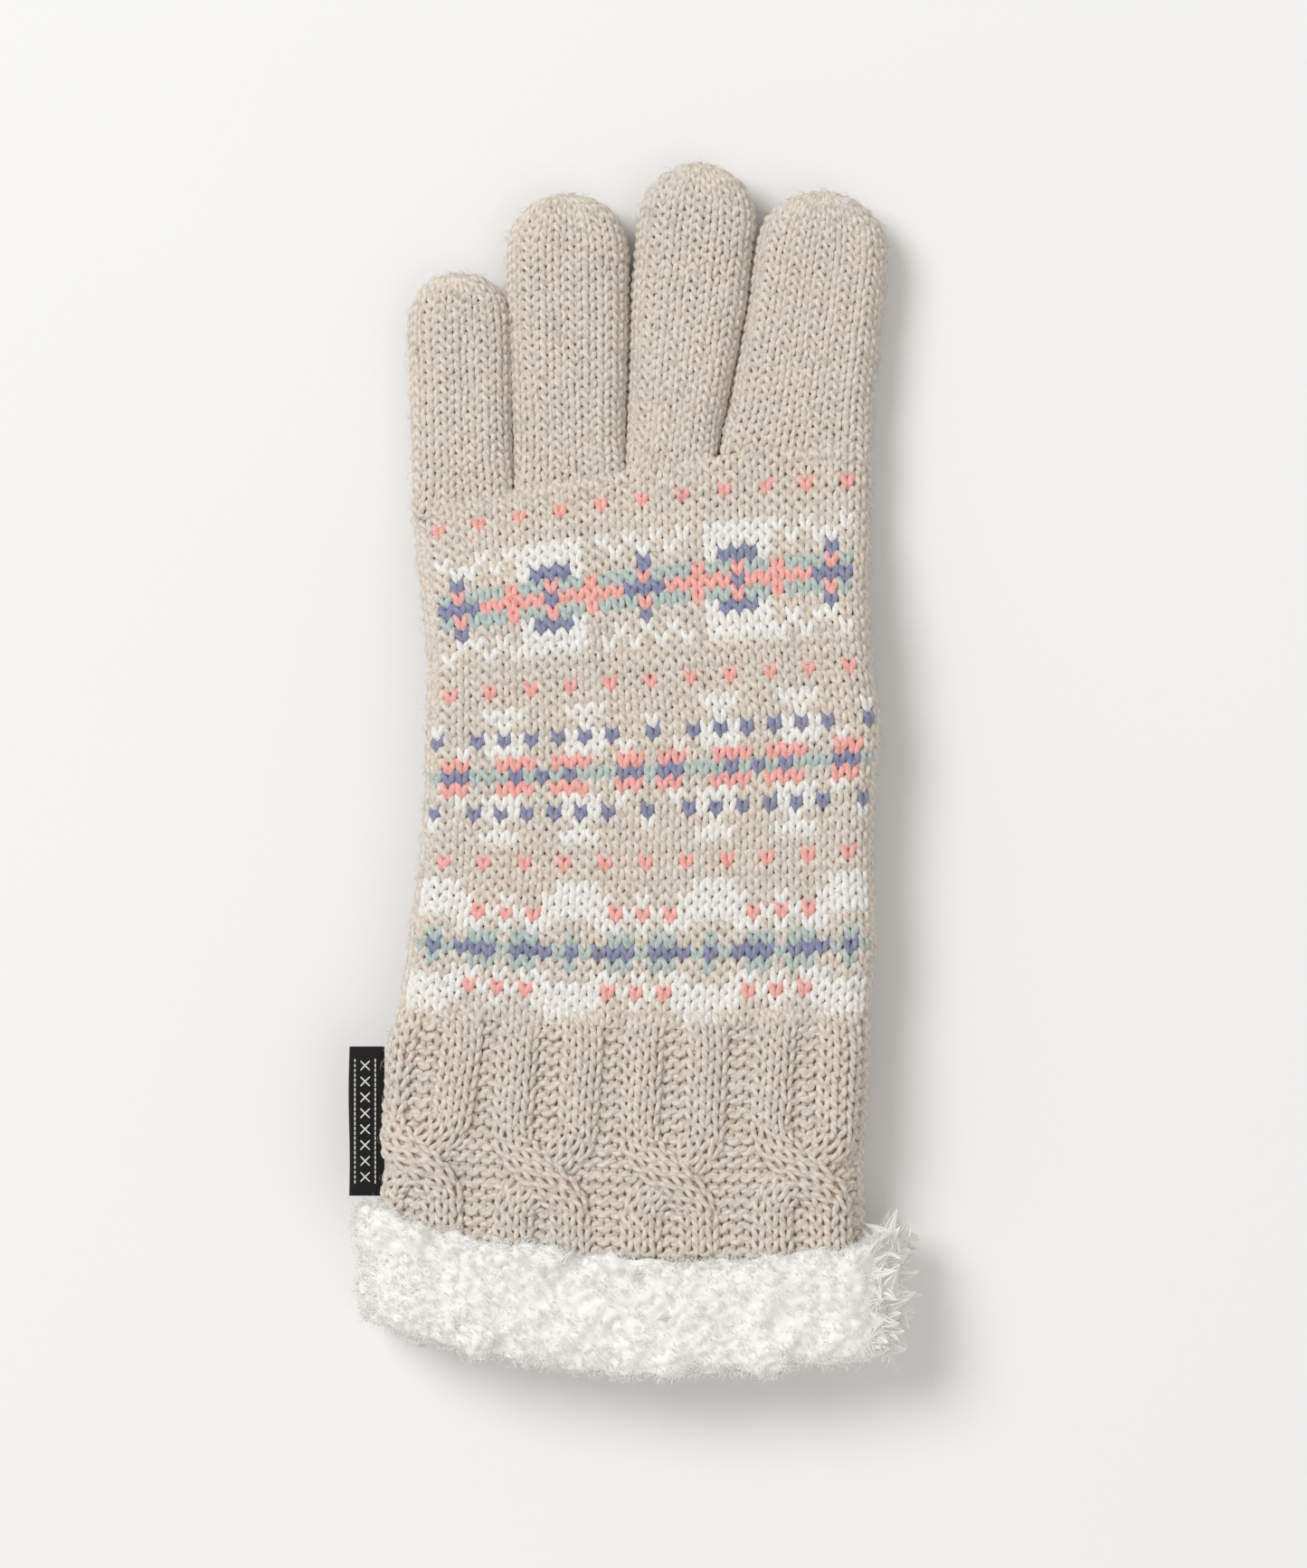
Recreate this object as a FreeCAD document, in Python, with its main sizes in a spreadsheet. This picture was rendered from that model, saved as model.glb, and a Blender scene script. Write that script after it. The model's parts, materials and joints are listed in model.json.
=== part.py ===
"""Left-hand knitted glove with a cable cuff and a fleece trim, palm down on a flat surface.

Millimetres. +X points from the little finger to the index finger, +Y to the fingertips and
+Z up out of the back of the hand. The origin is on the surface, under the middle of the glove.
The thumb is folded in under the palm, and the palm rests on it.
"""
import FreeCAD, Part
import math
import os
import Sketcher
from FreeCAD import Placement, Rotation, Vector

SIZES = [
    ("knit_wall", 2.4, "thickness of the knitted fabric"),
    ("clearance", 0.3, "space between pieces that move past each other"),
    ("hand_depth", 11.5, "thickness of the hand, outside"),
    ("front_y", 56.0, "line where the fingers start"),
    ("ramp_y", 31.0, "where the hand reaches its full height"),
    ("middle_y", -3.0, "narrowest part of the hand"),
    ("wrist_y", -54.0, "hinge line of the wrist"),
    ("wrist_gap", 3.0, "space left on each side of the wrist hinge"),
    ("front_left_x", -44.6, "outer edge of the little finger"),
    ("ramp_width", 90.9, "hand width at the ramp"),
    ("ramp_centre_x", 3.55, "middle of the hand at the ramp"),
    ("middle_width", 91.6, "hand width at its narrowest part"),
    ("middle_centre_x", 4.2, "middle of the hand at its narrowest part"),
    ("wrist_width", 96.9, "hand width at the wrist"),
    ("wrist_centre_x", 0.8, "middle of the hand at the wrist"),
    ("finger_level", 8.25, "height of the middle plane of the fingers"),
    ("finger_depth", 11.5, "thickness of a finger, outside"),
    ("finger_gap", 0.7, "space between neighbouring fingers"),
    ("finger_hinge_drop", 1.9, "how far a finger hinge is under the finger's middle plane"),
    ("knuckle_bend", 80.0, "most that a finger bends at the knuckle, degrees"),
    ("middle_bend", 80.0, "most that a finger bends at its middle joint, degrees"),
    ("bend_margin", 2.0, "extra opening of each hinge wedge, degrees"),
    ("little_width", 20.0, "little finger at its root"),
    ("little_end_width", 20.2, "little finger at its tip"),
    ("little_tilt", 1.6, "little finger's lean towards the outside, degrees"),
    ("little_stub", 10.0, "little finger from the front line to the knuckle hinge"),
    ("little_base", 18.0, "little finger from knuckle to middle hinge"),
    ("little_tip", 18.3, "little finger from middle hinge to its end"),
    ("ring_width", 22.3, "ring finger at its root"),
    ("ring_end_width", 22.5, "ring finger at its tip"),
    ("ring_tilt", 0.5, "ring finger's lean towards the outside, degrees"),
    ("ring_stub", 11.0, "ring finger from the front line to the knuckle hinge"),
    ("ring_base", 27.0, "ring finger from knuckle to middle hinge"),
    ("ring_tip", 24.6, "ring finger from middle hinge to its end"),
    ("middle_finger_width", 18.4, "middle finger at its root"),
    ("middle_finger_end_width", 20.6, "middle finger at its tip"),
    ("middle_finger_tilt", -5.5, "middle finger's lean, degrees"),
    ("middle_finger_stub", 14.0, "middle finger from the front line to the knuckle hinge"),
    ("middle_finger_base", 28.6, "middle finger from knuckle to middle hinge"),
    ("middle_finger_tip", 26.7, "middle finger from middle hinge to its end"),
    ("index_width", 30.2, "index finger at its root"),
    ("index_end_width", 26.0, "index finger at its tip"),
    ("index_tilt", -7.2, "index finger's lean, degrees"),
    ("index_stub", 16.0, "index finger from the front line to the knuckle hinge"),
    ("index_base", 24.5, "index finger from knuckle to middle hinge"),
    ("index_tip", 22.9, "index finger from middle hinge to its end"),
    ("thumb_depth", 8.8, "thickness of the folded thumb, outside"),
    ("thumb_wall", 2.1, "thickness of the thumb's fabric"),
    ("thumb_width", 23.0, "width of the thumb"),
    ("thumb_x", 33.0, "swing axis of the thumb"),
    ("thumb_y", -24.0, "swing axis of the thumb"),
    ("thumb_turn", 29.0, "direction of the folded thumb from +Y towards -X, degrees"),
    ("thumb_base", 29.0, "thumb from its swing axis to its middle hinge"),
    ("thumb_tip", 26.0, "thumb from its middle hinge to its end"),
    ("thumb_hinge_drop", 1.4, "how far the thumb's hinge is under its middle plane"),
    ("thumb_bend", 70.0, "most that the thumb bends, degrees"),
    ("thumb_hole_radius", 7.0, "opening from the hand into the thumb"),
    ("collar_wall", 1.6, "edge of the thumb opening"),
    ("cuff_end_y", -105.0, "lower edge of the knitted cuff"),
    ("hem_y", -92.0, "where the cuff reaches its full thickness"),
    ("cuff_depth", 18.0, "thickness of the cuff at its lower edge, outside"),
    ("cuff_start_width", 97.3, "cuff width at the wrist"),
    ("cuff_start_centre_x", 0.35, "middle of the cuff at the wrist"),
    ("cuff_width", 98.2, "cuff width at its lower edge"),
    ("cuff_centre_x", -0.6, "middle of the cuff at its lower edge"),
    ("seam_size", 1.4, "side of a seam's thread ridge"),
    ("trim_width", 116.0, "width of the fleece trim"),
    ("trim_depth", 28.0, "thickness of the fleece trim, outside"),
    ("trim_bottom_y", -125.0, "lowest point of the fleece trim"),
    ("trim_left_y", -111.0, "lower left end of the fleece trim"),
    ("trim_right_y", -118.5, "lower right end of the fleece trim"),
    ("trim_top_left_y", -88.3, "upper left end of the fleece trim"),
    ("trim_top_right_y", -94.0, "upper right end of the fleece trim"),
    ("trim_top_y", -99.3, "lowest point of the trim's upper edge"),
    ("trim_low_x", 8.0, "where both edges of the trim are lowest"),
    ("lining_wall", 2.0, "thickness of the fleece inner facing"),
    ("lining_top_y", -93.0, "upper edge of the inner facing"),
    ("lining_length", 25.0, "length of the inner facing"),
    ("skin_gap", 0.1, "space between layers that lie on each other"),
    ("stitch_y", -97.0, "line of the hem stitching"),
    ("stitch_thread", 0.6, "thickness of the hem stitching"),
    ("stitch_band", 1.2, "width of the hem stitching"),
    ("label_left_x", -57.8, "free folded edge of the label"),
    ("label_root_x", -50.5, "sewn edge of the label"),
    ("label_top_y", -56.5, "upper edge of the label"),
    ("label_length", 31.0, "length of the label"),
    ("label_thickness", 1.3, "thickness of the folded label"),
    ("label_slot", 0.4, "space between the label's two layers"),
    ("label_fold", 0.8, "thickness of the label's fold"),
]
FINGERS = [("little", "little"), ("ring", "ring"), ("middle", "middle_finger"), ("index", "index")]

doc = FreeCAD.newDocument("knitted_glove")
sheet = doc.addObject("Spreadsheet::Sheet", "Sizes")


class Size:
    """A number that holds both its present value and the sheet formula that gives it."""

    def __init__(self, value, formula):
        self.value = value
        self.formula = formula

    def __add__(self, other):
        other = as_size(other)
        return Size(self.value + other.value, f"({self.formula} + {other.formula})")

    def __sub__(self, other):
        other = as_size(other)
        return Size(self.value - other.value, f"({self.formula} - {other.formula})")

    def __mul__(self, other):
        other = as_size(other)
        return Size(self.value * other.value, f"({self.formula} * {other.formula})")

    def __truediv__(self, other):
        other = as_size(other)
        return Size(self.value / other.value, f"({self.formula} / {other.formula})")

    def __neg__(self):
        return Size(-self.value, f"(0 - {self.formula})")

    def tangent(self):
        return Size(math.tan(math.radians(self.value)), f"tan({self.formula} * 1 deg)")


def as_size(number):
    if isinstance(number, Size):
        return number
    return Size(float(number), repr(float(number)) if number >= 0 else f"(0 - {-float(number)!r})")


def fill_sheet():
    """Write every driving dimension as text with an alias, and return them by alias."""
    sizes = {}
    for row, (alias, value, meaning) in enumerate(SIZES, start=1):
        sheet.set(f"A{row}", meaning)
        sheet.set(f"B{row}", str(value))
        sheet.setAlias(f"B{row}", alias)
        sizes[alias] = Size(value, f"Sizes.{alias}")
    doc.recompute()
    return sizes


size = fill_sheet()
palm_level = size["thumb_depth"] + size["clearance"] + size["hand_depth"] / 2
trim_level = size["trim_depth"] / 2


def new_body(label):
    body = doc.addObject("PartDesign::Body", label)
    body.Label = label
    return body


def new_sketch(body, name, role, across=0, up=0, along=0, turn=None):
    """A sketch on one of the body's own planes, moved across, up and along its normal."""
    sketch = body.newObject("Sketcher::SketchObject", name)
    plane = next(item for item in body.Origin.OriginFeatures if item.Role == role)
    sketch.AttachmentSupport = [(plane, "")]
    sketch.MapMode = "FlatFace"
    offsets = {"x": as_size(across), "y": as_size(up), "z": as_size(along)}
    start = Vector(*[offset.value for offset in offsets.values()])
    sketch.AttachmentOffset = Placement(start, Rotation(Vector(0, 1, 0), turn.value if turn else 0.0))
    for letter, offset in offsets.items():
        sketch.setExpression(f"AttachmentOffset.Base.{letter}", offset.formula)
    if turn:
        sketch.setExpression("AttachmentOffset.Rotation.Angle", turn.formula)
    return sketch


def dimension(sketch, kind, where, length, name):
    """A named length in a sketch, tied to the sheet."""
    index = sketch.addConstraint(Sketcher.Constraint(kind, *where, length.value))
    sketch.renameConstraint(index, name)
    sketch.setExpression(f"Constraints.{name}", length.formula)


def arc(centre_x, radius, start, end):
    circle = Part.Circle(Vector(centre_x, 0, 0), Vector(0, 0, 1), radius)
    return Part.ArcOfCircle(circle, math.radians(start), math.radians(end))


def line(start, end):
    return Part.LineSegment(Vector(*start, 0), Vector(*end, 0))


def add_stadium(sketch, half_width, half_depth, name):
    """A flat tube's outline: two straight sides and two round ends, about the sketch's centre."""
    reach = half_width - half_depth
    middle = reach.value
    radius = half_depth.value
    right = sketch.addGeometry(arc(middle, radius, -90, 90))
    top = sketch.addGeometry(line((middle, radius), (-middle, radius)))
    left = sketch.addGeometry(arc(-middle, radius, 90, 270))
    bottom = sketch.addGeometry(line((-middle, -radius), (middle, -radius)))
    for joint in ((right, 2, top, 1), (top, 2, left, 1), (left, 2, bottom, 1), (bottom, 2, right, 1)):
        sketch.addConstraint(Sketcher.Constraint("Tangent", *joint))
    sketch.addConstraint(Sketcher.Constraint("PointOnObject", right, 3, -1))
    sketch.addConstraint(Sketcher.Constraint("PointOnObject", left, 3, -1))
    sketch.addConstraint(Sketcher.Constraint("Equal", right, left))
    dimension(sketch, "Radius", (right,), half_depth, f"{name}_radius")
    dimension(sketch, "DistanceX", (-1, 1, right, 3), reach, f"{name}_right")
    dimension(sketch, "DistanceX", (left, 3, -1, 1), reach, f"{name}_left")


def ring_sketch(body, name, half_width, half_depth, wall, **place):
    """The cross-section of a flat tube."""
    sketch = new_sketch(body, name, "XZ_Plane", **place)
    add_stadium(sketch, half_width, half_depth, "outer")
    add_stadium(sketch, half_width - wall, half_depth - wall, "inner")
    return sketch


def half_ring_sketch(body, name, half_width, half_depth, wall, upper, **place):
    """The upper or lower half of a flat tube's cross-section."""
    sketch = new_sketch(body, name, "XZ_Plane", **place)
    reach = half_width - half_depth
    middle = reach.value
    side = 1 if upper else -1
    arcs = []
    lines = []
    for radius in (half_depth.value, (half_depth - wall).value):
        if upper:
            right = sketch.addGeometry(arc(middle, radius, 0, 90))
            left = sketch.addGeometry(arc(-middle, radius, 90, 180))
        else:
            right = sketch.addGeometry(arc(middle, radius, 270, 360))
            left = sketch.addGeometry(arc(-middle, radius, 180, 270))
        flat = sketch.addGeometry(line((middle, side * radius), (-middle, side * radius)))
        arcs.append((right, left))
        lines.append(flat)
    flat_end = 2 if upper else 1
    seam_end = 1 if upper else 2
    for (right, left), flat in zip(arcs, lines):
        sketch.addConstraint(Sketcher.Constraint("Tangent", right, flat_end, flat, 1))
        sketch.addConstraint(Sketcher.Constraint("Tangent", flat, 2, left, seam_end))
        sketch.addConstraint(Sketcher.Constraint("PointOnObject", right, seam_end, -1))
        sketch.addConstraint(Sketcher.Constraint("PointOnObject", left, flat_end, -1))
        sketch.addConstraint(Sketcher.Constraint("Equal", right, left))
    (outer_right, outer_left), (inner_right, inner_left) = arcs
    outer_x = half_width.value
    inner_x = (half_width - wall).value
    ends = (
        (outer_right, inner_right, seam_end, outer_x, inner_x),
        (outer_left, inner_left, flat_end, -outer_x, -inner_x),
    )
    for outer, inner, end, start_x, end_x in ends:
        edge = sketch.addGeometry(line((start_x, 0), (end_x, 0)))
        sketch.addConstraint(Sketcher.Constraint("Coincident", outer, end, edge, 1))
        sketch.addConstraint(Sketcher.Constraint("Coincident", inner, end, edge, 2))
        sketch.addConstraint(Sketcher.Constraint("PointOnObject", outer, 3, -1))
        sketch.addConstraint(Sketcher.Constraint("Coincident", outer, 3, inner, 3))
    dimension(sketch, "Radius", (outer_right,), half_depth, "outer_radius")
    dimension(sketch, "Radius", (inner_right,), half_depth - wall, "inner_radius")
    dimension(sketch, "DistanceX", (-1, 1, outer_right, 3), reach, "right_reach")
    dimension(sketch, "DistanceX", (outer_left, 3, -1, 1), reach, "left_reach")
    return sketch


def box_sketch(body, name, role, width, height, **place):
    """A rectangle about the sketch's centre."""
    sketch = new_sketch(body, name, role, **place)
    right = width.value / 2
    top = height.value / 2
    corners = [(right, top), (-right, top), (-right, -top), (right, -top)]
    sides = [sketch.addGeometry(line(a, b)) for a, b in zip(corners, corners[1:] + corners[:1])]
    for first, second in zip(sides, sides[1:] + sides[:1]):
        sketch.addConstraint(Sketcher.Constraint("Coincident", first, 2, second, 1))
    for index, kind in enumerate(("Horizontal", "Vertical", "Horizontal", "Vertical")):
        sketch.addConstraint(Sketcher.Constraint(kind, sides[index]))
    sketch.addConstraint(Sketcher.Constraint("Symmetric", sides[0], 1, sides[2], 1, -1, 1))
    dimension(sketch, "DistanceX", (sides[2], 1, sides[2], 2), width, "width")
    dimension(sketch, "DistanceY", (sides[1], 2, sides[1], 1), height, "height")
    return sketch


def loft(body, name, sections):
    """A straight-sided solid through a row of sections."""
    feature = body.newObject("PartDesign::AdditiveLoft", name)
    feature.Profile = sections[0]
    feature.Sections = sections[1:]
    feature.Ruled = True
    doc.recompute()
    return feature


def pad(body, name, sketch, length, backwards=False):
    feature = body.newObject("PartDesign::Pad", name)
    feature.Profile = sketch
    feature.Length = length.value
    feature.setExpression("Length", length.formula)
    feature.Reversed = backwards
    doc.recompute()
    return feature


def cut_through(body, name, sketch):
    """Cut a sketch's shape away on both sides of its plane, and check that it took something."""
    before = body.Shape.Volume
    feature = body.newObject("PartDesign::Pocket", name)
    feature.Profile = sketch
    feature.Type = "ThroughAll"
    feature.Midplane = True
    doc.recompute()
    if body.Shape.Volume > before - 0.01:
        raise RuntimeError(f"{body.Label}: {name} cut nothing")
    return feature


def cut_wedge(body, name, along, drop, depth, half_angle):
    """A wedge under a hinge, with its point on the hinge axis and its sides half_angle apart."""
    sketch = new_sketch(body, f"{name}_outline", "YZ_Plane", across=along, up=-drop)
    half = depth * half_angle.tangent()
    low = -depth.value
    corners = [(0, 0), (-half.value, low), (half.value, low)]
    sides = [sketch.addGeometry(line(a, b)) for a, b in zip(corners, corners[1:] + corners[:1])]
    for first, second in zip(sides, sides[1:] + sides[:1]):
        sketch.addConstraint(Sketcher.Constraint("Coincident", first, 2, second, 1))
    sketch.addConstraint(Sketcher.Constraint("Coincident", sides[0], 1, -1, 1))
    sketch.addConstraint(Sketcher.Constraint("Horizontal", sides[1]))
    dimension(sketch, "DistanceX", (sides[1], 1, -1, 1), half, "left")
    dimension(sketch, "DistanceX", (-1, 1, sides[1], 2), half, "right")
    dimension(sketch, "DistanceY", (sides[1], 1, -1, 1), depth, "depth")
    return cut_through(body, name, sketch)


def cap_sketch(body, name, half_width, half_depth, wall, along):
    """Half of a flat tube's cross-section, open at the middle, to be turned into a round end."""
    sketch = new_sketch(body, name, "XZ_Plane", along=along)
    reach = half_width - half_depth
    middle = reach.value
    outer = half_depth.value
    inner = (half_depth - wall).value
    big = sketch.addGeometry(arc(middle, outer, -90, 90))
    top = sketch.addGeometry(line((middle, outer), (0, outer)))
    top_edge = sketch.addGeometry(line((0, outer), (0, inner)))
    top_inside = sketch.addGeometry(line((0, inner), (middle, inner)))
    small = sketch.addGeometry(arc(middle, inner, -90, 90))
    low_inside = sketch.addGeometry(line((middle, -inner), (0, -inner)))
    low_edge = sketch.addGeometry(line((0, -inner), (0, -outer)))
    low = sketch.addGeometry(line((0, -outer), (middle, -outer)))
    sketch.addConstraint(Sketcher.Constraint("Tangent", big, 2, top, 1))
    sketch.addConstraint(Sketcher.Constraint("Coincident", top, 2, top_edge, 1))
    sketch.addConstraint(Sketcher.Constraint("Coincident", top_edge, 2, top_inside, 1))
    sketch.addConstraint(Sketcher.Constraint("Tangent", top_inside, 2, small, 2))
    sketch.addConstraint(Sketcher.Constraint("Tangent", small, 1, low_inside, 1))
    sketch.addConstraint(Sketcher.Constraint("Coincident", low_inside, 2, low_edge, 1))
    sketch.addConstraint(Sketcher.Constraint("Coincident", low_edge, 2, low, 1))
    sketch.addConstraint(Sketcher.Constraint("Tangent", low, 2, big, 1))
    sketch.addConstraint(Sketcher.Constraint("Coincident", big, 3, small, 3))
    sketch.addConstraint(Sketcher.Constraint("PointOnObject", big, 3, -1))
    for end in ((top, 2), (top_inside, 1), (low_inside, 2), (low, 1)):
        sketch.addConstraint(Sketcher.Constraint("PointOnObject", *end, -2))
    dimension(sketch, "Radius", (big,), half_depth, "outer_radius")
    dimension(sketch, "Radius", (small,), half_depth - wall, "inner_radius")
    dimension(sketch, "DistanceX", (-1, 1, big, 3), reach, "reach")
    return sketch


def round_end(body, name, half_width, half_depth, wall, along, backwards=False):
    """Close a flat tube with an end that is a half circle seen from above."""
    sketch = cap_sketch(body, f"{name}_outline", half_width, half_depth, wall, along)
    before = body.Shape.BoundBox.YLength
    feature = body.newObject("PartDesign::Revolution", name)
    feature.Profile = sketch
    feature.ReferenceAxis = (sketch, ["V_Axis"])
    feature.Angle = 180
    feature.Reversed = backwards
    doc.recompute()
    if body.Shape.BoundBox.YLength < before + half_width.value / 2:
        raise RuntimeError(f"{body.Label}: {name} points into the tube")
    return feature


def place(body, x, y, z, turn=None):
    """Put a finished body in the glove, turned about the vertical."""
    angle = turn.value if turn else 0.0
    body.Placement = Placement(Vector(x.value, y.value, z.value), Rotation(Vector(0, 0, 1), angle))
    for letter, offset in (("x", x), ("y", y), ("z", z)):
        body.setExpression(f"Placement.Base.{letter}", offset.formula)
    if turn:
        body.setExpression("Placement.Rotation.Angle", turn.formula)


def finger_widths():
    """Each finger's width at its root, in order from the little finger."""
    return [size[f"{key}_width"] for _, key in FINGERS]


def front_width():
    """The fingers' roots side by side, with a gap between neighbours."""
    total = size["finger_gap"] * (len(FINGERS) - 1)
    for width in finger_widths():
        total = total + width
    return total


def hand_stations():
    """Where the hand's cross-section is set: y, level, middle and width."""
    width = front_width()
    middle = size["front_left_x"] + width / 2
    low = size["wrist_y"] + size["wrist_gap"]
    return [
        (size["front_y"], size["finger_level"], middle, width, size["hand_depth"]),
        (size["ramp_y"], palm_level, size["ramp_centre_x"], size["ramp_width"], size["hand_depth"]),
        (size["middle_y"], palm_level, size["middle_centre_x"], size["middle_width"], size["hand_depth"]),
        (low, palm_level, size["wrist_centre_x"], size["wrist_width"], size["hand_depth"]),
    ]


def cuff_stations():
    """Where the cuff's cross-section is set: y, level, middle, width and thickness."""
    start = size["wrist_y"] - size["wrist_gap"]
    centre = size["cuff_centre_x"]
    width = size["cuff_width"]
    return [
        (start, palm_level, size["cuff_start_centre_x"], size["cuff_start_width"], size["hand_depth"]),
        (size["hem_y"], trim_level, centre, width, size["cuff_depth"]),
        (size["cuff_end_y"], trim_level, centre, width, size["cuff_depth"]),
    ]


def make_panel(label, stations, upper):
    """One half of a flat knitted tube, split along its side seams."""
    body = new_body(label)
    sections = []
    for index, (y, level, centre, width, depth) in enumerate(stations):
        section = half_ring_sketch(
            body, f"{label}_section_{index}", width / 2, depth / 2, size["knit_wall"], upper,
            across=centre, up=level, along=-y)
        sections.append(section)
    loft(body, f"{label}_fabric", sections)
    return body


def make_seam(label, stations, side):
    """The ridge of thread that joins two panels, inside the edge on one side."""
    body = new_body(label)
    sections = []
    for index, (y, level, centre, width, _) in enumerate(stations):
        inset = width / 2 - size["knit_wall"] - size["skin_gap"] - size["seam_size"] / 2
        section = box_sketch(
            body, f"{label}_section_{index}", "XZ_Plane", size["seam_size"], size["seam_size"],
            across=centre + inset * side, up=level, along=-y)
        sections.append(section)
    loft(body, f"{label}_thread", sections)
    return body


def make_thumb_opening(palm):
    """The round opening in the palm for the thumb, and the knitted edge that fills it."""
    outer = size["thumb_hole_radius"] + size["collar_wall"]
    hole = new_sketch(palm, "thumb_opening_outline", "XY_Plane", across=size["thumb_x"], up=size["thumb_y"])
    hole.addGeometry(Part.Circle(Vector(0, 0, 0), Vector(0, 0, 1), outer.value))
    hole.addConstraint(Sketcher.Constraint("Coincident", 0, 3, -1, 1))
    dimension(hole, "Radius", (0,), outer, "radius")
    cut_through(palm, "thumb_opening_cut", hole)
    collar = new_body("thumb_collar")
    ring = new_sketch(collar, "collar_outline", "XY_Plane")
    for index, (name, radius) in enumerate((("outer", outer), ("inner", size["thumb_hole_radius"]))):
        ring.addGeometry(Part.Circle(Vector(0, 0, 0), Vector(0, 0, 1), radius.value))
        ring.addConstraint(Sketcher.Constraint("Coincident", index, 3, -1, 1))
        dimension(ring, "Radius", (index,), radius, name)
    pad(collar, "collar_edge", ring, size["knit_wall"])
    place(collar, size["thumb_x"], size["thumb_y"], palm_level - size["hand_depth"] / 2)


def make_finger(name, key, root_x):
    """A finger in three pieces: the stub on the hand, the base and the closed tip."""
    depth = size["finger_depth"] / 2
    wall = size["knit_wall"]
    tilt = size[f"{key}_tilt"]
    root = size[f"{key}_width"] / 2
    end = size[f"{key}_end_width"] / 2
    knuckle = size[f"{key}_stub"]
    middle = knuckle + size[f"{key}_base"]
    drop = size["finger_hinge_drop"]
    wedge = depth - drop + size["clearance"]
    knuckle_angle = size["knuckle_bend"] / 2 + size["bend_margin"]
    middle_angle = size["middle_bend"] / 2 + size["bend_margin"]
    spot = (root_x, size["front_y"], size["finger_level"], tilt)

    stub = new_body(f"{name}_finger_root")
    first = ring_sketch(stub, f"{name}_root_start", root, depth, wall, turn=-tilt)
    last = ring_sketch(stub, f"{name}_root_end", root, depth, wall, along=-knuckle)
    loft(stub, f"{name}_root_tube", [first, last])
    cut_wedge(stub, f"{name}_root_wedge", knuckle, drop, wedge, knuckle_angle)
    place(stub, *spot)

    base = new_body(f"{name}_finger_base")
    first = ring_sketch(base, f"{name}_base_start", root, depth, wall, along=-knuckle)
    last = ring_sketch(base, f"{name}_base_end", end, depth, wall, along=-middle)
    loft(base, f"{name}_base_tube", [first, last])
    cut_wedge(base, f"{name}_base_knuckle_wedge", knuckle, drop, wedge, knuckle_angle)
    cut_wedge(base, f"{name}_base_middle_wedge", middle, drop, wedge, middle_angle)
    place(base, *spot)

    tip = new_body(f"{name}_fingertip")
    outline = ring_sketch(tip, f"{name}_tip_start", end, depth, wall, along=-middle)
    straight = size[f"{key}_tip"] - end
    pad(tip, f"{name}_tip_tube", outline, straight, backwards=True)
    round_end(tip, f"{name}_tip_end", end, depth, wall, -(middle + straight))
    cut_wedge(tip, f"{name}_tip_wedge", middle, drop, wedge, middle_angle)
    place(tip, *spot)


def make_fingers():
    """Four fingers side by side along the hand's front line."""
    edge = size["front_left_x"]
    for name, key in FINGERS:
        width = size[f"{key}_width"]
        make_finger(name, key, edge + width / 2)
        edge = edge + width + size["finger_gap"]


def make_thumb():
    """The thumb in two pieces, folded in under the palm; its base turns about the opening."""
    half = size["thumb_width"] / 2
    depth = size["thumb_depth"] / 2
    wall = size["thumb_wall"]
    hinge = size["thumb_base"]
    drop = size["thumb_hinge_drop"]
    wedge = depth - drop + size["clearance"]
    angle = size["thumb_bend"] / 2 + size["bend_margin"]
    spot = (size["thumb_x"], size["thumb_y"], depth, size["thumb_turn"])

    base = new_body("thumb_base")
    outline = ring_sketch(base, "thumb_base_start", half, depth, wall)
    pad(base, "thumb_base_tube", outline, hinge, backwards=True)
    round_end(base, "thumb_base_heel", half, depth, wall, as_size(0), backwards=True)
    hole = new_sketch(base, "thumb_base_hole_outline", "XY_Plane")
    hole.addGeometry(Part.Circle(Vector(0, 0, 0), Vector(0, 0, 1), size["thumb_hole_radius"].value))
    hole.addConstraint(Sketcher.Constraint("Coincident", 0, 3, -1, 1))
    dimension(hole, "Radius", (0,), size["thumb_hole_radius"], "radius")
    before = base.Shape.Volume
    opening = base.newObject("PartDesign::Pocket", "thumb_base_hole")
    opening.Profile = hole
    opening.Type = "ThroughAll"
    opening.Reversed = True
    doc.recompute()
    if base.Shape.Volume > before - 0.01:
        raise RuntimeError("thumb_base: the opening cut nothing")
    cut_wedge(base, "thumb_base_wedge", hinge, drop, wedge, angle)
    place(base, *spot)

    tip = new_body("thumb_tip")
    outline = ring_sketch(tip, "thumb_tip_start", half, depth, wall, along=-hinge)
    straight = size["thumb_tip"] - half
    pad(tip, "thumb_tip_tube", outline, straight, backwards=True)
    round_end(tip, "thumb_tip_end", half, depth, wall, -(hinge + straight))
    cut_wedge(tip, "thumb_tip_wedge", hinge, drop, wedge, angle)
    place(tip, *spot)


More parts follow.
